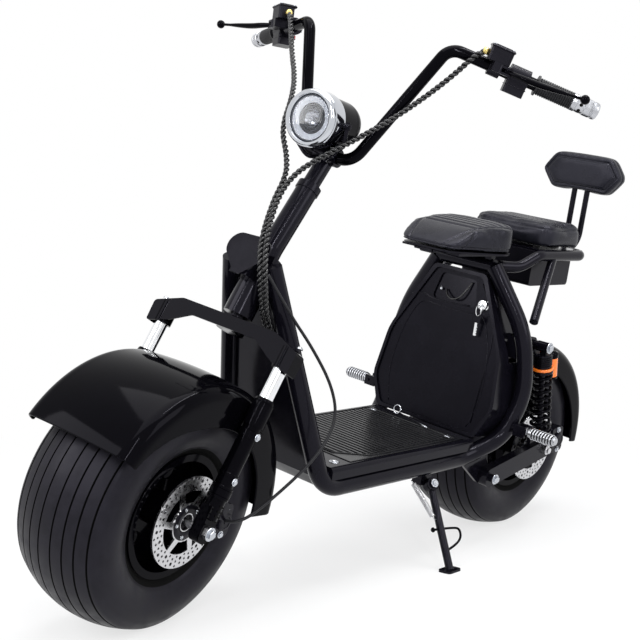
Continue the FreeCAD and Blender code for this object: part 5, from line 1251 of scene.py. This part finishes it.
def camera():
    """The photo's viewing angle, from a fit to points on the scooter."""
    data = bpy.data.cameras.new("camera")
    data.lens = 66.027
    data.sensor_width = 36.0
    made = linked("camera", data)
    right = Vector((-0.6704135, 0.74188759, 0.01218747))
    up = Vector((-0.04288367, -0.05513974, 0.99755732))
    ahead = Vector((-0.74074741, -0.66825325, -0.06878129))
    turn = Matrix((right, up, -ahead)).transposed().to_4x4()
    made.matrix_world = Matrix.Translation((1.885620, 1.481320, 0.691638)) @ turn
    bpy.context.scene.camera = made


def math_node(tree, operation, first, second):
    made = add_node(tree, "Math")
    made.operation = operation
    tree.links.new(first, made.inputs[0])
    tree.links.new(second, made.inputs[1])
    return made.outputs[0]


def seen_rays(tree):
    """1 for rays from the camera, reflections and glass, and 0 for others."""
    path = add_node(tree, "LightPath").outputs
    mirrored = math_node(tree, "MAXIMUM", path["Is Camera Ray"], path["Is Glossy Ray"])
    return math_node(tree, "MAXIMUM", mirrored, path["Is Transmission Ray"])


def mixed(tree, out, share, unseen, seen):
    """Mixes two shaders into the output."""
    mix = add_node(tree, "MixShader")
    for source, target in zip((share, unseen.outputs[0], seen.outputs[0]), mix.inputs):
        tree.links.new(source, target)
    tree.links.new(mix.outputs[0], out.inputs[0])


def floor():
    """A pale floor that keeps the shadow near the scooter and turns plain white further off."""
    size = 14.0
    corners = [(-size, -size, 0), (size, -size, 0), (size, size, 0), (-size, size, 0)]
    mesh = bpy.data.meshes.new("floor")
    mesh.from_pydata(corners, [], [(0, 1, 2, 3)])
    paint = bpy.data.materials.new("floor")
    paint.use_nodes = True
    tree = paint.node_tree
    tree.nodes.clear()
    reach = add_node(tree, "VectorMath")
    reach.operation = "LENGTH"
    tree.links.new(add_node(tree, "TexCoord").outputs["Object"], reach.inputs[0])
    fade = add_node(tree, "MapRange", From_Min=0.7, From_Max=2.0, To_Min=0.72, To_Max=1.0)
    fade.interpolation_type = "SMOOTHSTEP"
    tree.links.new(reach.outputs["Value"], fade.inputs["Value"])
    share = math_node(tree, "MULTIPLY", seen_rays(tree), fade.outputs["Result"])
    mixed(tree, add_node(tree, "OutputMaterial"), share,
          add_node(tree, "BsdfDiffuse", Color=(0.93, 0.93, 0.93, 1)),
          add_node(tree, "Emission", Strength=1.0))
    mesh.materials.append(paint)
    linked("floor", mesh)


def world():
    """A white backdrop that lights the scooter more softly than it shows."""
    made = bpy.data.worlds.new("studio")
    bpy.context.scene.world = made
    made.use_nodes = True
    tree = made.node_tree
    tree.nodes.clear()
    mixed(tree, add_node(tree, "OutputWorld"), seen_rays(tree),
          add_node(tree, "Background", Color=(0.95, 0.97, 1.0, 1), Strength=0.55),
          add_node(tree, "Background", Color=(1, 1, 1, 1), Strength=1.0))


def softbox(name, at, aim, size, power):
    data = bpy.data.lights.new(name, "AREA")
    data.shape = "RECTANGLE"
    data.size, data.size_y = size
    data.energy = power
    made = linked(name, data)
    made.location = at
    made.rotation_euler = (Vector(aim) - Vector(at)).to_track_quat("-Z", "Y").to_euler()


def studio():
    """Three soft lights, and three narrow ones for the streaks on tubes and fenders."""
    world()
    floor()
    softbox("light_top", (0.3, 0.3, 3.2), (0, 0, 0.3), (2.6, 2.6), 60)
    softbox("light_left", (2.6, -1.2, 2.0), (0, 0, 0.4), (1.4, 1.8), 30)
    softbox("light_right", (-0.6, 3.0, 1.8), (0, 0, 0.4), (1.6, 1.6), 26)
    softbox("strip_left", (1.9, 2.2, 1.9), (0.3, 0, 0.4), (0.05, 1.8), 22)
    softbox("strip_front", (3.0, 0.2, 1.6), (0.5, 0, 0.5), (0.05, 1.6), 16)
    softbox("strip_top", (-0.4, 0.9, 2.8), (0, 0, 0.4), (1.8, 0.06), 18)


bpy.context.scene.view_settings.view_transform = "Standard"
finish_nodes()
camera()
studio()
wheels()
saddle()
pillion()
backrest()
fenders()
headlamp()
grips()
levers()
controls()
looms()
hose()
deck()
tower()
pull_ring()
lock()
shocks()
stand()
bolts()
pegs()
fork_trim()
calipers()
